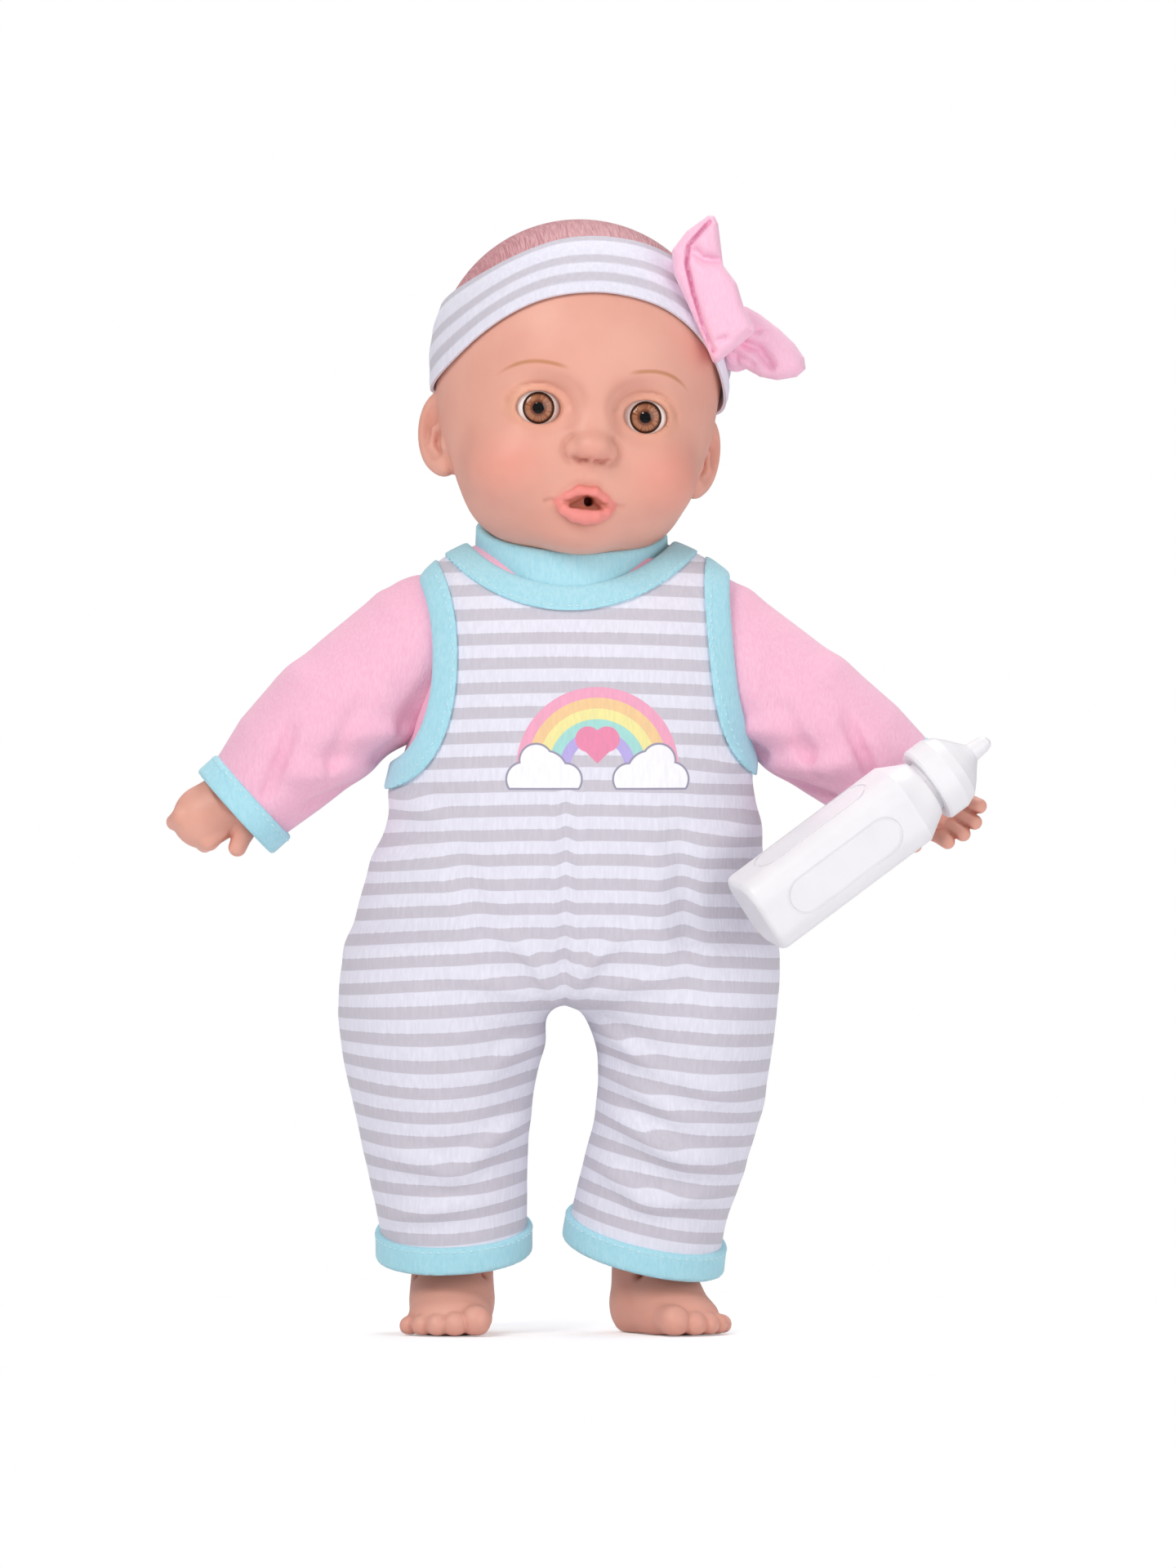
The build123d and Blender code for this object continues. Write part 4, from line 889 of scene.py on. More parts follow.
# folds: place, way across the fold, way along it, height, half width, half length (mm)
folds = [
    # the front seam and the gathers that fan out of the crotch
    ((0, -31, 152), (1, 0, 0), (0, 0, 1), -1.3, 2.6, 34),
    ((-1, -28, 118), (1, 0, 0), (0, 0, 1), -1.4, 2.6, 9),
    ((-9, -28, 116), (0.85, 0, 0.5), (0.5, 0, -0.85), 1.2, 2.6, 8),
    ((7, -28, 116), (-0.85, 0, 0.5), (0.5, 0, 0.85), 1.3, 2.6, 8),
    ((-15, -29, 124), (0.6, 0, 0.8), (-0.8, 0, 0.6), 1.0, 3.0, 10),
    ((14, -29, 124), (-0.6, 0, 0.8), (0.8, 0, 0.6), 1.2, 3.0, 11),
    ((24, -29, 113), (-0.35, 0, 0.94), (0.94, 0, 0.35), 1.1, 3.6, 12),
    ((-24, -29, 112), (0.3, 0, 0.95), (-0.95, 0, 0.3), 0.9, 3.6, 12),
    ((37, -30, 138), (1, 0, 0.05), (-0.05, 0, 1), -1.9, 5.5, 24),
    ((-30, -30, 142), (0.95, 0, 0.3), (-0.3, 0, 0.95), -0.9, 6.0, 20),
    # inner thighs, running outwards and down
    ((17, -26, 93), (0.6, 0, 0.8), (0.8, 0, -0.6), 2.2, 4.2, 14),
    ((26, -25, 76), (0.55, 0, 0.83), (0.83, 0, -0.55), 1.8, 4.5, 15),
    ((27, -24, 62), (0.6, 0, 0.8), (0.8, 0, -0.6), 2.4, 4.5, 17),
    ((20, -22, 47), (0.6, 0, 0.8), (0.8, 0, -0.6), 1.8, 4.0, 12),
    ((-16, -24, 90), (-0.6, 0, 0.8), (-0.8, 0, -0.6), 1.4, 4.5, 12),
    ((-22, -24, 62), (-0.6, 0, 0.8), (-0.8, 0, -0.6), 2.0, 4.5, 16),
    # lower legs, slumped on the cuffs
    ((-44, -23, 54), (0.3, 0, 0.95), (-0.95, 0, 0.3), 1.5, 4.5, 16),
    ((-42, -23, 40), (-0.15, 0, 0.99), (-0.99, 0, -0.15), 1.5, 3.8, 17),
    ((43, -22, 56), (0.35, 0, 0.93), (-0.93, 0, 0.35), 1.9, 4.5, 15),
    ((36, -22, 43), (-0.1, 0, 0.99), (0.99, 0, 0.1), 1.6, 4.0, 15),
    ((48, -20, 78), (0.3, 0, 0.95), (-0.95, 0, 0.3), 1.3, 5.5, 16),
    # sides at the waist and under the arms
    ((-50, -18, 170), (0.45, 0, 0.9), (-0.9, 0, 0.45), 1.6, 5.0, 12),
    ((55, -18, 182), (-0.2, 0, 0.98), (0.98, 0, 0.2), 1.3, 5.0, 12),
    ((-58, -14, 152), (0.1, 0, 1), (-1, 0, 0.1), 1.1, 6.0, 16),
    ((56, -18, 160), (-0.35, 0, 0.93), (0.93, 0, 0.35), 1.3, 6.0, 18),
    # back and seat
    ((-26, 30, 122), (0.4, 0, 0.92), (-0.92, 0, 0.4), 1.4, 6.0, 20),
    ((26, 30, 120), (-0.4, 0, 0.92), (0.92, 0, 0.4), 1.4, 6.0, 20),
    ((0, 32, 150), (1, 0, 0), (0, 0, 1), -1.2, 2.8, 40),
    ((-36, 26, 92), (0.2, 0, 0.98), (-0.98, 0, 0.2), 1.6, 5.0, 18),
    ((38, 26, 88), (-0.2, 0, 0.98), (0.98, 0, 0.2), 1.6, 5.0, 18),
    ((-38, 24, 52), (-0.3, 0, 0.95), (0.95, 0, 0.3), 1.7, 4.5, 18),
    ((28, 24, 54), (0.3, 0, 0.95), (-0.95, 0, 0.3), 1.8, 4.5, 18),
]


def foldHeight(p):
    total = np.zeros(p.shape[:-1], np.float32)
    for at, across, along, height, wide, length in folds:
        q = p - np.array(at, np.float32)
        u, v = q @ np.array(across, np.float32) / wide, q @ np.array(along, np.float32) / length
        w = q[..., 1] / 26
        total += height * (1 - 0.9 * u * u) * np.exp(-0.8 * u * u - v * v - w * w)
    return total


def trunkField(p):
    # squarer across the chest
    power = np.interp(p[..., 2], (170, 200), (2.25, 2.9))
    return sectionField(p, trunkTable, 103, 254.5, power, 8.0)


def legField(p, side, low, high):
    return sectionField(p, legTables[side], low, high, 2.1, 6.0)


def plainBody(p, crotch=5.5, soft=9):
    body = trunkField(p)
    for side in sides:
        body = near(body, legField(p, side, 0, 124), 9)
    return carve(body, rod(p, (-1, -60, 99), (-1, 60, 99), crotch, crotch), soft)


def romperField(p):
    return plainBody(p, 5.0, 7) - foldHeight(p)


neckline = {"centre": (1.2, 285.0), "radius": 46.0}
# each armhole as seen from the front: middle, half width, half height, squareness, lean
armholes = {"right": (-62.2, 216.5, 19.7, 35.0, 2.2, 0.0), "left": (75.2, 221.0, 22.0, 39.0, 3.2, 0.09)}


def neckCut(p, grow=0.0):
    # the neckline: a scoop front and back
    x, z = neckline["centre"]
    return np.hypot(p[..., 0] - x, p[..., 2] - z) - neckline["radius"] - grow


def armCut(p, side, grow=0.0):
    # distance out of the armhole, in mm
    x, z, a, b, n, lean = armholes["right" if side < 0 else "left"]
    dx = np.abs(p[..., 0] + lean * (p[..., 2] - z) - x) / a + 1e-4
    dz = np.abs(p[..., 2] - z) / b + 1e-4
    total = dx**n + dz**n
    slope = total ** (1 / n - 1) * np.hypot(dx ** (n - 1) / a, dz ** (n - 1) / b)
    return (total ** (1 / n) - 1) / slope - grow


# each leg's cuff: its middle, and how its plane leans sideways and to the back
cuffs = {
    "right": (-35.95, 29.6, 0.046, 0.24), "left": (24.7, 29.6, -0.23, 0.24),
    "half": 4.4, "out": 0.3, "thick": 1.4,
}


def cuffHeight(p, side=None):
    heights = {}
    for name in sides:
        x, z, lean, back = cuffs[name]
        heights[name] = z + lean * (p[..., 0] - x) + back * p[..., 1]
    return heights[side] if side else np.where(p[..., 0] < -1, heights["right"], heights["left"])


romper = {"step": 1.7, "wall": 0.9, "split": 106.0, "bend": 78.0}
verts, faces = meshField(romperField, (-86, -50, 12), (84, 50, 262), romper["step"], rounds=3)
keep = np.minimum(neckCut(verts, 2.0), np.minimum(armCut(verts, -1, 2.0), armCut(verts, 1, 2.0)))
keep = np.minimum(keep, verts[:, 2] - np.minimum(cuffHeight(verts), 60.0))
verts, faces = trim(verts, faces, keep)


def stripeOf(p):
    # courses follow the trunk's height and then sag across each leg
    x, z = p[:, 0], p[:, 2]
    leg = np.clip((110 - z) / 30, 0, 1)
    right = -0.045 * (x + 39) + 4.5 * (1 - ((x + 39) / 30) ** 2)
    left = 0.14 * (x - 37) + 3.5 * (1 - ((x - 37) / 29) ** 2)
    droop = 0.0006 * x**2 * (1 - leg)
    return z + leg * np.where(x < -1, right, left) + droop + foldHeight(p.astype(np.float32)) * 0.9


def chestOf(p):
    return np.stack([p[:, 0] - 10.0, p[:, 2] - 189.0, np.clip(-p[:, 1] / 10, 0, 1)], 1)


def clothPiece(name, verts, faces, material, wall):
    v, f = thicken(verts, faces, wall)
    values = {"stripe": stripeOf(verts), "chest": chestOf(verts)}
    values["hollow"] = hollowOf(romperField, verts, faces, (2.5, 6.0, 12.0))
    return makeObject(
        name, v, f, material, {key: np.concatenate([one, one]) for key, one in values.items()}
    )


bodyV, bodyF = trim(verts, faces, verts[:, 2] - romper["split"])
romperBody = clothPiece("romperBody", bodyV, bodyF, romperKnit, romper["wall"])
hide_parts("romper_body")
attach(romperBody, "torso")
for side, sign in sides.items():
    legV, legF = trim(verts, faces, romper["split"] - verts[:, 2])
    legV, legF = trim(legV, legF, sign * (legV[:, 0] + 1.0))
    legPiece = clothPiece("romperLeg" + side.capitalize(), legV, legF, romperKnit, romper["wall"])
    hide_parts("romper_leg_" + side)
    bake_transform(legPiece)
print("romper made", len(faces))

# ---- stuffing: trunk, thighs and upper arms, cut to go inside the clothes

# in mm: how far inside the clothes, and where trunk and thighs end
stuffing = {"inset": 4.4, "step": 3.0, "trunkFoot": 108.5, "thighTop": 105.5, "thighFoot": 40.0}
# girth: the sleeve's radius above and below the arm, from the shoulder down
arms = {
    "shoulder": (44.0, 0.0, 222.0), "droop": {"right": 42.0, "left": 38.0},
    "cuff": {"right": 16.5, "left": 17.6}, "cuffMiddle": 79.2, "cuffHalf": 4.2,
    "step": 1.4, "wall": 0.9, "end": 79.0,
    "girth": {
        "right": ((21.0, 21.4, 22.6, 23.2, 21.0, 16.8, 15.6), (21.0, 21.0, 20.0, 18.6, 17.4, 15.8, 15.4)),
        "left": ((21.0, 21.2, 21.6, 22.0, 21.0, 18.6, 17.0), (21.0, 21.0, 20.5, 20.0, 18.2, 16.4, 15.8)),
    },
}


def boxOf(*names):
    corners = [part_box(name) for name in names]
    low = np.min([c[0] for c in corners], 0) * 1000 - middle
    high = np.max([c[1] for c in corners], 0) * 1000 - middle
    return low, high


def blockField(p, low, high, grow):
    centre, half = (low + high) / 2, (high - low) / 2 + grow
    return (np.abs(p - centre.astype(np.float32)) - half.astype(np.float32)).max(-1)


caseLow, caseHigh = boxOf("sound_case_front", "sound_case_back")
caseHigh[1] += 30
buttonLow, buttonHigh = boxOf("belly_button")
buttonLow[1] -= 30
neckLow, neckHigh = boxOf("neck_sleeve")
neckHigh[2] += 40
leadLow, leadHigh = boxOf("mouth_switch_lead")


def stuffedTrunk(p):
    body = both(plainBody(p) + stuffing["inset"], stuffing["trunkFoot"] - p[..., 2], 4.0)
    for low, high, grow in (
        (caseLow, caseHigh, 1.2), (buttonLow, buttonHigh, 1.5), (neckLow, neckHigh, 1.5),
        (leadLow, leadHigh, 1.5),
    ):
        body = carve(body, blockField(p, low, high, grow), 1.0)
    for sign in (-1, 1):
        x, y, z = arms["shoulder"]
        shoulder = np.sqrt(((p - np.array((sign * x, y, z), np.float32)) ** 2).sum(-1)) - 21.5
        body = carve(body, shoulder, 1.0)
    return body


def plumpUp(piece, cap, pressure=4.0, frames=20):
    # lets the filling push the cloth out, no further than the cap in mm
    rest = np.empty(len(piece.data.vertices) * 3)
    piece.data.vertices.foreach_get("co", rest)
    cloth = piece.modifiers.new("Cloth", "CLOTH")
    cloth.settings.use_pressure = True
    cloth.settings.uniform_pressure_force = pressure
    cloth.settings.effector_weights.gravity = 0
    cloth.settings.quality = 5
    cloth.point_cache.frame_end = frames
    for number in range(1, frames + 1):
        scene.frame_set(number)
    evaluated = piece.evaluated_get(bpy.context.evaluated_depsgraph_get())
    moved = np.empty(len(rest))
    evaluated.data.vertices.foreach_get("co", moved)
    piece.modifiers.remove(cloth)
    scene.frame_set(1)
    step = (moved - rest).reshape(-1, 3)
    far = np.linalg.norm(step, axis=1, keepdims=True)
    step = step * np.minimum(1.0, cap / 1000 / np.maximum(far, 1e-9))
    piece.data.vertices.foreach_set("co", (rest.reshape(-1, 3) + step).ravel())
    piece.data.update()


verts, faces = meshField(stuffedTrunk, (-80, -44, 100), (80, 44, 262), stuffing["step"])
trunkStuffing = makeObject("stuffedTrunk", verts, faces, bodyCloth)
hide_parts("stuffed_torso")
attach(trunkStuffing, "torso")
for side, sign in sides.items():

    def thighField(p, sign=sign):
        body = both(plainBody(p) + stuffing["inset"], p[..., 2] - stuffing["thighTop"], 4.0)
        body = both(body, stuffing["thighFoot"] - p[..., 2], 4.0)
        return both(body, 2.5 - sign * (p[..., 0] + 1.0), 3.0)

    low, high = ((-80, -42, 32), (4, 42, 112)) if sign < 0 else ((-6, -42, 32), (80, 42, 112))
    verts, faces = meshField(thighField, low, high, stuffing["step"])
    thigh = makeObject("stuffedThigh" + side.capitalize(), verts, faces, bodyCloth)
    plumpUp(thigh, 1.5)
    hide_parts("thigh_" + side)
    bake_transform(thigh)
print("stuffing made")

# ---- edge bindings: folded tape over each raw edge


binding = {"width": 8.0, "thick": 1.35, "out": 0.2, "edge": 4.0, "gap": 8.2, "step": 0.9}


def bandField(surface, edge):
    return both(
        np.abs(surface - binding["out"]) - binding["thick"], np.abs(edge) - binding["width"] / 2, 1.1
    )


def bindingPiece(name, field, low, high, node, body):
    verts, faces = meshField(field, low, high, binding["step"])
    piece = makeObject(name, verts, faces, cyanKnit)
    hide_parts(node)
    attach(piece, body)
    return piece


def neckBand(p):
    armGap = np.minimum(armCut(p, -1, binding["gap"]), armCut(p, 1, binding["gap"]))
    return carve(bandField(romperField(p), neckCut(p, binding["edge"])), armGap, 0.8)


bindingPiece("neckBinding", neckBand, (-50, -40, 222), (56, 40, 262), "romper_neck_binding", "torso")
for side, sign in sides.items():

    def armBand(p, sign=sign):
        return bandField(romperField(p), armCut(p, sign, binding["edge"]))

    low, high = ((-76, -42, 164), (-20, 42, 262)) if sign < 0 else ((30, -42, 164), (78, 42, 262))
    bindingPiece(
        "armholeBinding" + side.capitalize(), armBand, low, high, "armhole_binding_" + side, "torso"
    )

    middleX = cuffs[side][0]

    def cuffBand(p, side=side):
        leg = legField(p, side, -40, 160)
        return both(
            np.abs(leg - cuffs["out"]) - cuffs["thick"],
            np.abs(p[..., 2] - cuffHeight(p, side)) - cuffs["half"], 1.3,
        )

    low, high = (middleX - 32, -32, 10), (middleX + 32, 32, 50)
    bindingPiece("legCuff" + side.capitalize(), cuffBand, low, high, "leg_cuff_" + side, "leg_" + side)
print("bindings made")

# ---- arms


def armFrame(side):
    sign = sides[side]
    droop = math.radians(arms["droop"][side])
    along = np.array((sign * math.cos(droop), 0, -math.sin(droop)))
    inward = np.array((-sign * math.sin(droop), 0, -math.cos(droop)))
    x, y, z = arms["shoulder"]
    return np.array((sign * x, y, z)), np.stack([inward, np.cross(along, inward), along], 1)


def sleeveField(p, side, grow=0.0):
    at, turn = armFrame(side)
    q = ((p - at) @ turn).astype(np.float32)
    s = q[..., 2]
    flatter = np.interp(s, (8, 40), (1.13, 1.0))
    r = np.hypot(q[..., 0], q[..., 1] * flatter)
    over = -q[..., 0] / np.maximum(r, 1e-3)                 # 1 on the upper side, -1 underneath
    upper, under = arms["girth"][side]
    above, below = (np.interp(s, (-30, 0, 25, 45, 62, 76, 100), row) for row in (upper, under))
    radius = (above + below) / 2 + (above - below) / 2 * over + grow
    viewer = -sides[side]
    f = r - radius
    grooves = (
        ((0.5, 22.5, 26), (5.0, 21.0, 40), (13.0, 15.0, 57)),
        ((12.0, 18.0, 12), (16.0, 14.0, 26), (18.5, 9.0, 38)),
        ((19.5, 4.0, 44), (17.5, 7.0, 54), (14.5, 9.5, 64)),
        ((-8.0, 19.5, 52), (-2.0, 18.8, 62), (2.0, 17.0, 71)),
        ((2.0, -21.5, 24), (8.0, -19.0, 40), (13.0, -14.0, 58)),
    )
    for line in grooves:
        line = [(x, y * viewer, z) for x, y, z in line]
        f = carve(f, chain(q, line, [1.0, 2.2, 0.8]), 4.5)
    # place, way across, height, half width, half length
    creases = (
        ((14, 12, 30), (0.75, 0, 0.66), 2.4, 4.6, 17), ((13, 12, 50), (0.75, 0, 0.66), 2.0, 4.4, 15),
        ((-16, 6, 38), (0.2, 0, 1), 0.9, 6.0, 14), ((6, 16, 58), (0.3, 0, 0.95), 1.0, 5.0, 14),
        ((10, -14, 30), (0.3, 0, 0.95), 1.4, 5.0, 16), ((-4, -17, 52), (-0.3, 0, 0.95), 1.2, 5.0, 14),
        ((2, 18, 20), (-0.5, 0, 0.85), 1.2, 5.5, 14),
    )
    for middleOf, across, height, wide, reach in creases:
        d = q - np.array((middleOf[0], middleOf[1] * viewer, middleOf[2]), np.float32)
        u = d @ np.array(across, np.float32) / wide
        rest = (d**2).sum(-1) / reach**2
        f = f - height * (1 - 0.9 * u * u) * np.exp(-0.8 * u * u - rest)
    ball = np.sqrt(q[..., 0] ** 2 + (q[..., 1] * flatter) ** 2 + s**2) - 20.6 - grow
    return near(both(f, -s, 4.0), ball, 3.0)


for side, sign in sides.items():
    at, turn = armFrame(side)

    def shirtSleeve(p, side=side):
        return sleeveField(p, side)

    low, high = ((-128, -26, 146), (-24, 26, 248)) if sign < 0 else ((24, -26, 146), (128, 26, 248))
    verts, faces = meshField(shirtSleeve, low, high, arms["step"], rounds=3)
    run = (verts - at) @ turn[:, 2]
    verts, faces = trim(verts, faces, arms["end"] - run)
    v, f = thicken(verts, faces, arms["wall"])
    hollow = hollowOf(shirtSleeve, verts, faces, (2.5, 6.0, 12.0))
    piece = makeObject("sleeve" + side.capitalize(), v, f, pinkKnit, {"hollow": np.tile(hollow, 2)})
    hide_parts("sleeve_" + side)
    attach(piece, "arm_" + side)

    def cuff(p, side=side, at=at, turn=turn):
        q = (p - at) @ turn
        wall = np.abs(np.hypot(q[..., 0], q[..., 1]) - arms["cuff"][side]) - cuffs["thick"]
        return both(wall, np.abs(q[..., 2] - arms["cuffMiddle"]) - arms["cuffHalf"], 1.2)

    bindingPiece("sleeveCuff" + side.capitalize(), cuff, low, high, "sleeve_cuff_" + side, "arm_" + side)

    def upperArm(p, side=side, at=at, turn=turn):
        s = ((p - at) @ turn)[..., 2]
        return both(both(sleeveField(p, side, -3.4), s - 46, 4.0), -16.0 - s, 6.0)

    verts, faces = meshField(upperArm, low, high, stuffing["step"])
    piece = makeObject("stuffedArm" + side.capitalize(), verts, faces, bodyCloth)
    plumpUp(piece, 1.2)
    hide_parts("upper_arm_" + side)
    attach(piece, "arm_" + side)
print("sleeves made")

# ---- stitching: short threads along a run, set out by Geometry Nodes


def stitchTree():
    tree = bpy.data.node_groups.new("stitchRun", "GeometryNodeTree")
    face = tree.interface
    face.new_socket("Geometry", in_out="INPUT", socket_type="NodeSocketGeometry")
    for name, value in (("Spacing", 0.0026), ("Length", 0.0015), ("Thickness", 0.00024)):
        face.new_socket(name, in_out="INPUT", socket_type="NodeSocketFloat").default_value = value
    face.new_socket("Thread", in_out="INPUT", socket_type="NodeSocketMaterial")
    face.new_socket("Geometry", in_out="OUTPUT", socket_type="NodeSocketGeometry")
    given = addNode(tree, "NodeGroupInput").outputs
    curve = addNode(tree, "GeometryNodeMeshToCurve", [given["Geometry"]])
    spaced = {"Curve": curve, "Length": given["Spacing"]}
    points = addNode(tree, "GeometryNodeResampleCurve", spaced, mode="LENGTH")
    tangent = addNode(tree, "GeometryNodeInputTangent")
    turn = addNode(tree, "FunctionNodeAlignRotationToVector", {"Vector": tangent}, axis="Z")
    ball = addNode(tree, "GeometryNodeMeshUVSphere", {"Segments": 6, "Rings": 4, "Radius": 1.0})
    half = addNode(tree, "Math", [given["Length"], 0.5], operation="MULTIPLY")
    size = addNode(tree, "CombineXYZ", [given["Thickness"], given["Thickness"], half])
    thread = {"Points": points, "Instance": ball.outputs["Mesh"], "Rotation": turn, "Scale": size}
    placed = addNode(tree, "GeometryNodeInstanceOnPoints", thread)
    real = addNode(tree, "GeometryNodeRealizeInstances", [placed])
    dressed = addNode(tree, "GeometryNodeSetMaterial", {"Geometry": real, "Material": given["Thread"]})
    addNode(tree, "NodeGroupOutput", [dressed])
    return tree


# the thread in metres, then in mm: its lift off the tape, its rows beyond the neckline's and armholes' cuts,
# what it keeps clear of the armholes, and its rows from a leg cuff's edge and a sleeve cuff's middle
stitches = {
    "spacing": 0.0027, "length": 0.0016, "thickness": 0.00026,
    "lift": 0.1, "neckline": 6.5, "armhole": 6.6, "clear": 8.6, "legCuff": 1.3, "sleeveCuff": 2.6,
}
stitchGroup = stitchTree()


def sew(name, runs, body, thread):
    # runs are lists of points in mm, each one a seam's thread line
    verts, edges = [], []
    for run, closed in runs:
        base = len(verts)
        verts += [tuple(p) for p in run]
        edges += [(base + i, base + i + 1) for i in range(len(run) - 1)]
        if closed:
            edges.append((base + len(run) - 1, base))
    mesh = bpy.data.meshes.new(name + "Line")
    mesh.from_pydata(toRow(verts).tolist(), edges, [])
    line = bpy.data.objects.new(name + "Line", mesh)
    scene.collection.objects.link(line)
    modifier = line.modifiers.new("stitches", "NODES")
    modifier.node_group = stitchGroup
    wanted = {
        "Spacing": stitches["spacing"], "Length": stitches["length"], "Thickness": stitches["thickness"],
        "Thread": thread,
    }
    for item in stitchGroup.interface.items_tree:
        if item.in_out == "INPUT" and item.name in wanted:
            modifier[item.identifier] = wanted[item.name]
    bpy.context.view_layer.update()
    made = bpy.data.meshes.new_from_object(line.evaluated_get(bpy.context.evaluated_depsgraph_get()))
    bpy.data.objects.remove(line)
    made.polygons.foreach_set("use_smooth", [True] * len(made.polygons))
    piece = bpy.data.objects.new(name, made)
    scene.collection.objects.link(piece)
    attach(piece, body)


def onSurface(field, inside, outside, lift):
    # where the line from an inner to an outer point leaves the surface
    low, high = np.array(inside, float), np.array(outside, float)
    for _ in range(26):
        mid = (low + high) / 2
        out = (field(mid.astype(np.float32)) > lift)[:, None]
        high, low = np.where(out, mid, high), np.where(out, low, mid)
    return low


bandTop = binding["out"] + binding["thick"] + stitches["lift"]
necklineRuns = []
for front in (-1, 1):
    radius = neckline["radius"] + stitches["neckline"]
    angle = np.radians(np.linspace(-42, 42, 120))
    x, z = neckline["centre"][0] + radius * np.sin(angle), neckline["centre"][1] - radius * np.cos(angle)
    inner, outer = (np.stack([x, 0 * x + y, z], 1) for y in (0, front * 60))
    run = onSurface(romperField, inner, outer, bandTop)
    clear = np.minimum(*[armCut(run, sign, stitches["clear"]) for sign in (-1, 1)]) > 0
    necklineRuns.append((run[clear], False))
sew("necklineStitches", necklineRuns, "torso", cyanThread)
for side, sign in sides.items():
    runs = []
    x, z, a, b, n, lean = armholes[side]
    turnAngle = np.radians(np.linspace(0, 360, 220, endpoint=False))
    cx, cz = np.cos(turnAngle), np.sin(turnAngle)
    reach = (np.abs(cx / a) ** n + np.abs(cz / b) ** n) ** (-1 / n) + stitches["armhole"]
    for front in (-1, 1):
        high = z + reach * cz
        wide = x + reach * cx - lean * (high - z)
        inner, outer = (np.stack([wide, 0 * wide + y, high], 1) for y in (0, front * 60))
        within = (romperField(inner.astype(np.float32)) < -3) & (high < 250) & (sign * (wide - x) < 0)
        run = onSurface(romperField, inner[within], outer[within], bandTop)
        runs.append((run[np.argsort(-run[:, 2])], False))
    sew("armholeStitches" + side.capitalize(), runs, "torso", cyanThread)
    # cuffs
    middleX = cuffs[side][0]
    around = np.radians(np.linspace(0, 360, 160, endpoint=False))
    inner = np.stack([middleX + 0 * around, 0 * around, 0 * around], 1)
    outer = inner + 40 * np.stack([np.cos(around), np.sin(around), 0 * around], 1)
    for line in (inner, outer):
        line[:, 2] = cuffHeight(line, side) + cuffs["half"] - stitches["legCuff"]

    def legSkin(p, side=side):
        return legField(p, side, -40, 160)

    run = onSurface(legSkin, inner, outer, cuffs["out"] + cuffs["thick"])
    sew("legCuffStitches" + side.capitalize(), [(run, True)], "leg_" + side, cyanThread)
    at, turn = armFrame(side)
    r = arms["cuff"][side] + 1.45
    s = arms["cuffMiddle"] - stitches["sleeveCuff"]
    ring = np.stack([r * np.cos(around), r * np.sin(around), s + 0 * around], 1)
    run = at + ring @ turn.T
    sew("sleeveCuffStitches" + side.capitalize(), [(run, True)], "arm_" + side, cyanThread)
print("stitching made")

# ---- undershirt: trunk and stand-up collar

shirtCloth = {"step": 1.8, "wall": 0.7, "hem": 150}
collar = {"centre": (1.8, 1.0), "squash": 1.16, "radius": 25.2, "half": 5.8}


def collarHeight(p):
    # lowest under the chin, highest at the nape
    x, y = p[..., 0] - collar["centre"][0], p[..., 1] - collar["centre"][1]
    return 252.6 - 0.05 * x + 0.29 * np.minimum(y, 0) + 0.14 * np.maximum(y, 0)


def neckRound(p):
    # deeper at the nape, over the tie's head
    x, y = p[..., 0] - collar["centre"][0], p[..., 1] - collar["centre"][1]
    return np.hypot(x / collar["squash"], np.where(y > 0, y * 0.88, y)) - collar["radius"]


def shirtField(p):
    stand = np.maximum(neckRound(p) + 1.2, np.abs(p[..., 2] - 250) - 12)
    under = trunkField(p) + 1.3 - np.minimum(foldHeight(p), 0)
    return near(under + np.clip((225 - p[..., 2]) / 20, 0, 1), stand, 3.0)


verts, faces = meshField(shirtField, (-76, -42, 140), (78, 42, 274), shirtCloth["step"], rounds=3)
verts, faces = trim(
    verts, faces, np.minimum(verts[:, 2] - shirtCloth["hem"], collarHeight(verts) + 1.0 - verts[:, 2])
)
v, f = thicken(verts, faces, shirtCloth["wall"])
hollow = np.tile(hollowOf(shirtField, verts, faces, (2.5, 6.0)), 2)
shirt = makeObject("shirtBody", v, f, pinkKnit, {"hollow": hollow})
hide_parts("shirt_body")
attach(shirt, "torso")


def collarField(p):
    h = p[..., 2] - collarHeight(p)
    return both(np.abs(neckRound(p) + 0.03 * h) - 1.3, np.abs(h + 1.3) - collar["half"], 1.2)


bindingPiece("shirtCollar", collarField, (-36, -36, 234), (42, 40, 266), "shirt_collar", "torso")

# ---- hands and feet

limbStep = 0.7


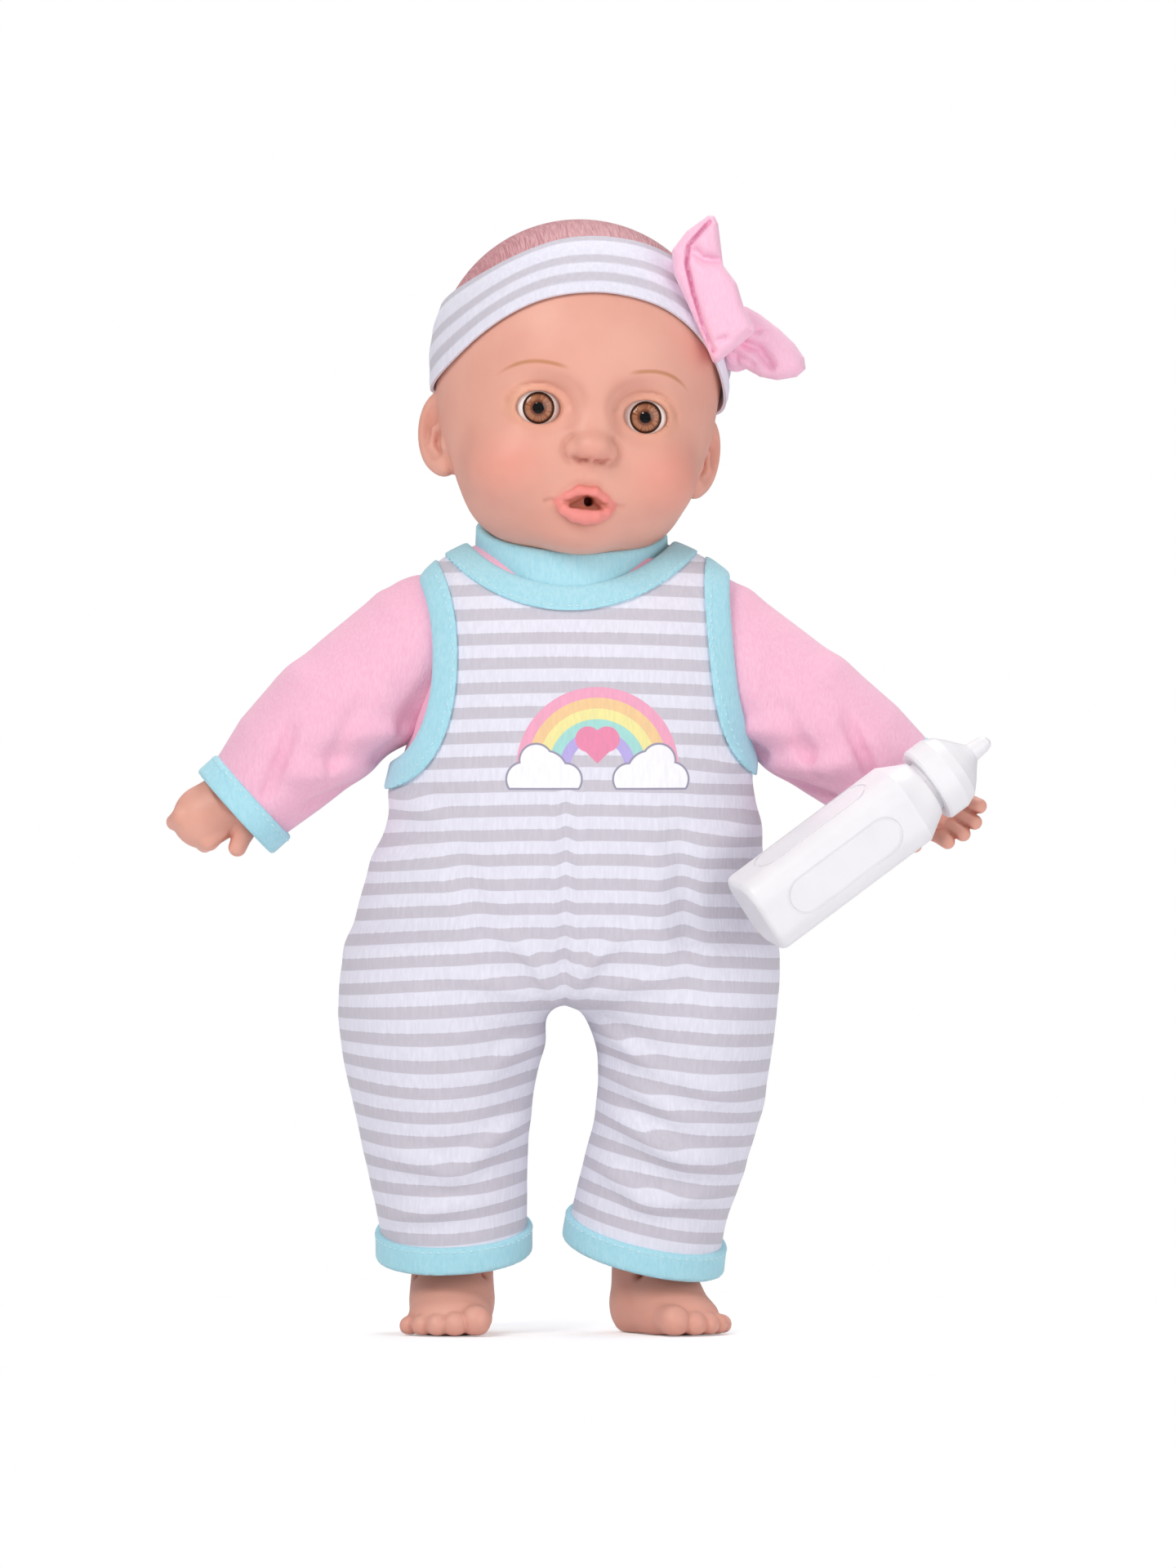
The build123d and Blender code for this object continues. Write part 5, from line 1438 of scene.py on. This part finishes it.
def handField(q, side):
    arm = rod(q, (0, 0, 42), (0, 0, 62), 11.5, 11.5)
    if side == "right":
        # a closed fist seen on its back, thumb hanging below
        arm = near(arm, rod(q, (0, 0, 60), (-3.4, 0, 82), 11.5, 10.4), 3)
        body = near(arm, egg(q, (-5.6, 0.6, 91.0), (10.0, 9.0, 10.8)), 3)
        for k, x in enumerate((-11.5, -7.6, -3.6, 0.2)):
            knuckle = [(x + 1.5, 4.0, 90), (x + 1.0, 4.6, 96.5 - 0.4 * k), (x + 0.8, -1.0, 99.6 - 0.8 * k)]
            body = near(body, chain(q, knuckle, [2.6, 2.9, 2.7], 1.0), 1.1)
        thumb = [(2, 3.0, 80), (6.4, 4.6, 85.0), (8.8, 4.4, 90.0)]
        body = near(body, chain(q, thumb, [3.4, 3.3, 2.9], 1.0), 1.4)
        return carve(body, chain(q, [(-12, 7, 83), (-4, 10.6, 84), (5, 8.6, 81)], [0.3, 0.4, 0.3]), 1.6)
    # an open hand, its fingers bent a little forward, for the bottle to lie against
    arm = near(arm, rod(q, (0, 0, 60), (-1.0, 0, 82), 11.5, 9.0), 3)
    body = near(arm, egg(q, (-1.5, -5.5, 88.0), (9.6, 7.4, 11.0)), 3)
    for x, tip, reach in (
        (-9.6, -12.0, 101.6), (-5.4, -7.0, 103.6), (-1.0, -1.8, 103.0), (3.0, 3.2, 100.6)
    ):
        finger = [(x, -6, 90), (x * 1.05, -7, 96.5), (tip, -13.5, reach + 0.4)]
        body = near(body, chain(q, finger, [2.8, 2.9, 2.4], 0.8), 0.8)
    return near(body, chain(q, [(5, -5, 82), (9.5, -6, 88), (10.5, -8.0, 93.5)], [3.3, 3.0, 2.5], 1.0), 1.0)


for side, sign in sides.items():
    at, turn = armFrame(side)

    def forearm(p, side=side, at=at, turn=turn):
        return handField(((p - at) @ turn).astype(np.float32), side)

    low, high = ((-136, -26, 138), (-64, 26, 208)) if sign < 0 else ((64, -26, 138), (136, 26, 208))
    verts, faces = meshField(forearm, low, high, limbStep)
    piece = makeObject(
        "forearm" + side.capitalize(), verts, faces, limbVinyl, {"hollow": hollowOf(forearm, verts, faces)}
    )
    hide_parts("forearm_" + side)
    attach(piece, "hand_" + side)


feet = {"right": {"x": -36.5, "turn": -4.0}, "left": {"x": 28.5, "turn": 34.0}}


def footField(p, side):
    spec, sign = feet[side], sides[side]
    turn = np.array(Matrix.Rotation(math.radians(spec["turn"]), 3, "Z"))
    q = ((p - np.array((spec["x"], 0, 0))) @ turn).astype(np.float32)
    body = rod(q, (0, 2, 12), (0, 0, 50), 13.0, 13.2)
    body = near(body, egg(q, (0, 3, 7), (12.0, 12.5, 10.5)), 4)
    body = near(body, egg(q, (-0.5 * sign, -13, 5.5), (13.4, 14.0, 8.6)), 6)
    body = near(body, egg(q, (0, -5, 12), (11.5, 12, 9.5)), 6)
    # toes, the big one on the inner side
    toes = ((-9.4, 24.6, 5.0), (-3.0, 26.6, 4.0), (2.6, 26.0, 3.7), (7.6, 23.6, 3.5), (12.0, 20.0, 3.2))
    for spread, ahead, radius in toes:
        root = (sign * spread * 0.85, -ahead + 8, radius * 0.8 + 1.6)
        body = near(body, rod(q, root, (sign * spread, -ahead, radius), radius, radius), 0.8)
    body = carve(body, rod(q, (-14, -6, 19.0), (14, -6, 19.0), 0.8, 0.8), 2.5)          # ankle
    return both(body, -q[..., 2], 1.6)


for side in sides:

    def foot(p, side=side):
        return footField(p, side)

    x = feet[side]["x"]
    verts, faces = meshField(foot, (x - 32, -42, -3), (x + 34, 26, 60), limbStep)
    verts[:, 2] = np.maximum(verts[:, 2], 0)
    piece = makeObject(
        "lowerLeg" + side.capitalize(), verts, faces, limbVinyl, {"hollow": hollowOf(foot, verts, faces)}
    )
    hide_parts("lower_leg_" + side)
    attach(piece, "foot_" + side)
print("hands and feet made")

# ---- headband and bow

# heights of the band's two edges on the head, by the angle round it from the brow
band = {
    "flatWidth": 0.022, "flatLength": 0.29, "off": 0.9,
    "wall": 1.0, "around": 240, "across": 18, "angle": (-180, -90, -62, -47, -26, 0, 27, 47, 66, 90, 180),
    "low": (-9.0, -4.0, 5.0, 15.5, 26.8, 30.6, 27.5, 18.0, 1.0, -4.0, -9.0),
    "high": (10.0, 23.5, 32.0, 39.6, 46.0, 47.6, 47.0, 44.2, 35.0, 24.0, 10.0),
}


def underBand(p):
    return skullField(p) - band["off"]


def bandEdge(heights, angle):
    # the points of the skull at these heights round the head
    steps = np.degrees(angle)
    z = np.interp(steps, band["angle"], heights)
    for _ in range(70):
        z = (np.roll(z, 1) + 2 * z + np.roll(z, -1)) / 4
    low, high = np.zeros_like(angle), np.full_like(angle, 75.0)

    def place(r):
        return np.stack([r * np.sin(angle), -r * np.cos(angle), z], -1)

    for _ in range(40):
        mid = (low + high) / 2
        outside = underBand(place(mid).astype(np.float32)) > 0
        high, low = np.where(outside, mid, high), np.where(outside, low, mid)
    return place(low)


angle = np.linspace(-np.pi, np.pi, band["around"], endpoint=False)
lowEdge, highEdge = (bandEdge(band[key], angle) for key in ("low", "high"))
rows = []
for t in np.linspace(0, 1, band["across"]):
    p = lowEdge * (1 - t) + highEdge * t
    for _ in range(8 if 0 < t < 1 else 0):
        f = underBand(p.astype(np.float32))
        slope = slopeOf(underBand, p, f, 0.1)
        p = p - slope * (f / np.maximum((slope**2).sum(1), 0.3))[:, None]
    rows.append(p)
grid = np.stack(rows)                                   # across, around, xyz
standOff = np.exp(-(((angle - 1.15) / 0.3) ** 2))        # off the head a little at the bow
grid = grid * (1 + 0.02 * standOff)[None, :, None]
pucker = 0.35 * np.sin(np.linspace(0, 1, band["across"]) * 19.0)[:, None] * (standOff + 0.35)[None, :]
grid = grid + grid / np.linalg.norm(grid, axis=-1, keepdims=True) * pucker[..., None]
count, around = grid.shape[:2]
index = np.arange(count * around).reshape(count, around)
faces = []
for i in range(count - 1):
    for j in range(around):
        k = (j + 1) % around
        faces.append([index[i, j], index[i, k], index[i + 1, k], index[i + 1, j]])
flatV = fromHead(grid.reshape(-1, 3))
outward = normalsOf(flatV, faces)
if (outward * (flatV - np.array(head["centre"]))).sum() < 0:
    faces = [f[::-1] for f in faces]
across = np.repeat(np.linspace(0, 1, count), around)
v, f = thicken(flatV + normalsOf(flatV, faces) * band["wall"], faces, band["wall"])
headbandPiece = makeObject("headband", v, f, bandKnit, {"stripe": np.tile(1 - across, 2)})
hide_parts("headband")
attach(headbandPiece, "headband")


def outlineField(x, z, points):
    # distance to a closed outline in the frontal plane, negative inside
    best, inside = np.full(x.shape, 1e9, np.float32), np.zeros(x.shape, bool)
    for (ax, az), (bx, bz) in zip(points, points[1:] + points[:1]):
        ex, ez = bx - ax, bz - az
        t = np.clip(((x - ax) * ex + (z - az) * ez) / (ex * ex + ez * ez), 0, 1)
        best = np.minimum(best, np.hypot(x - ax - t * ex, z - az - t * ez))
        crosses = (az > z) != (bz > z)
        inside ^= crosses & (x < ax + (z - az) * ex / (ez if abs(ez) > 1e-6 else 1e-6))
    return np.where(inside, -best, best)


# each loop: its outline from the front, the depth of its middle, half its depth and its corner
bow = {
    "front": {
        "outline": [
            (45.2, 356.3), (38.3, 351.3), (33.6, 345.3), (34.4, 337.5), (41.3, 322.4), (46.8, 309.8),
            (48.6, 310.0), (60.4, 319.8), (56.3, 327.8), (54.2, 334.8), (49.9, 340.4), (48.3, 353.6),
            (47.0, 356.2),
        ],
        "middle": -27.0, "lean": -0.12, "half": 11.0, "round": 2.6,
        "seam": [
            (45.6, 354.2), (41.4, 349.6), (38.8, 346.6), (38.3, 341.0), (40.4, 332.0), (43.4, 322.0),
            (46.8, 313.4),
        ],
        "dent": [(41.0, 344.8), (43.6, 342.6), (47.4, 342.2)],
        "pleats": [[(48.4, 316.6), (50.6, 317.6)], [(55.0, 316.4), (58.0, 319.6)]],
    },
    "back": {
        "outline": [
            (50.6, 325.0), (57.1, 328.0), (61.8, 325.4), (68.1, 320.6), (72.8, 316.2), (76.0, 311.6),
            (76.5, 308.0), (73.6, 305.4), (67.3, 304.3), (61.8, 305.4), (55.2, 309.0), (51.0, 316.0),
        ],
        "middle": -17.0, "lean": 0.25, "half": 6.0, "round": 4.2,
        "seam": [(69.0, 325.0), (75.0, 317.5)],
        "dent": [(56.5, 316.4), (61.2, 314.4), (65.0, 309.2)],
        "pleats": [[(55.5, 321.5), (61.5, 320.0)], [(54.5, 312.5), (59.5, 309.6)]],
    },
}


def bowLoop(p, key):
    spec = bow[key]
    x, z = p[..., 0], p[..., 2]
    flat = outlineField(x, z, spec["outline"])
    plump = np.clip(-flat / 7.0, 0, 1)
    half = spec["half"] - 2.6 + 2.6 * np.sqrt(plump)
    half = half - 2.4 * crease(p, spec["seam"], 0.8) - 3.2 * crease(p, spec["dent"], 1.9)
    for line in spec["pleats"]:
        half = half - 1.3 * crease(p, line, 1.0)
    lean = spec["lean"] * (z - 330 if key == "front" else x - 50)
    deep = np.abs(p[..., 1] - spec["middle"] - lean) - half
    r = spec["round"]
    out = np.hypot(np.maximum(flat + r, 0), np.maximum(deep + r, 0))
    return out + np.minimum(np.maximum(flat, deep) + r, 0) - r


for key in bow:

    def loopField(p, key=key):
        return bowLoop(p, key) * 0.9

    outline, depth = np.array(bow[key]["outline"]), bow[key]["middle"]
    (x0, z0), (x1, z1) = outline.min(0) - 3, outline.max(0) + 3
    verts, faces = meshField(loopField, (x0, depth - 24, z0), (x1, depth + 24, z1), 0.7)
    hollow = hollowOf(loopField, verts, faces, (1.5, 4.0))
    piece = makeObject("bowLoop" + key.capitalize(), verts, faces, bowCloth, {"hollow": hollow})
    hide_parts("bow_loop_" + key)
    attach(piece, "headband")


knotPlace = {"at": (47.5, -18.5, 17.5), "half": (6.5, 6.5, 8.0), "reach": 13}


def knotField(p):
    q = toHead(p)
    ball = egg(q, knotPlace["at"], knotPlace["half"])
    return ball + 0.28 * np.cos(q[..., 1] * 1.7 + q[..., 2] * 0.4)


low, high = (tuple(fromHead(knotPlace["at"]) + k * knotPlace["reach"]) for k in (-1, 1))
verts, faces = meshField(knotField, low, high, 0.8)
knot = makeObject("bowKnot", verts, faces, bowCloth)
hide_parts("bow_knot")
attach(knot, "headband")
print("headband and bow made")

# ---- CAD pieces that keep their shape

slotFinish = {
    "closure_tape": knit("hookAndLoopNylon", "#f0f0f2", "#dcdce0", rib=2.0),
    "stuffed_cloth": bodyCloth,
    "case_plastic": plainPlastic("mouldedAbsCase", "#e6e5e0", "#dcdbd5", 0.45),
    "black_plastic": plainPlastic("mouldedAcetal", "#1c1c1e", "#242427", 0.4),
    "steel": platedMetal("nickelPlatedSteel", "#c9cacd", "#8f9094"),
    "cell_jacket": plainPlastic("printedCellJacket", "#2f6b58", "#2a5f4f", 0.3),
    "board_green": plainPlastic("solderMaskBoard", "#1f6b3c", "#1a5c34", 0.3),
    "speaker_paper": plainPlastic("pressedPaperCone", "#2b2b2d", "#333336", 0.85),
    "tie_nylon": plainPlastic("naturalNylonTie", "#ecebe4", "#e4e3da", 0.4),
    "lead_jacket": plainPlastic("pvcLeadJacket", "#b5342c", "#a82f28", 0.45),
    "bottle_plastic": plainPlastic("blowMouldedPolyethylene", "#f0eef1", "#eae8ec", 0.36),
}
for part in frame["record"]["subparts"]:
    if part["material_slot"] in slotFinish and not nodes[part["node"]].hide_render:
        mesh = nodes[part["node"]].data
        mesh.materials.clear()
        mesh.materials.append(slotFinish[part["material_slot"]])

print("all made")
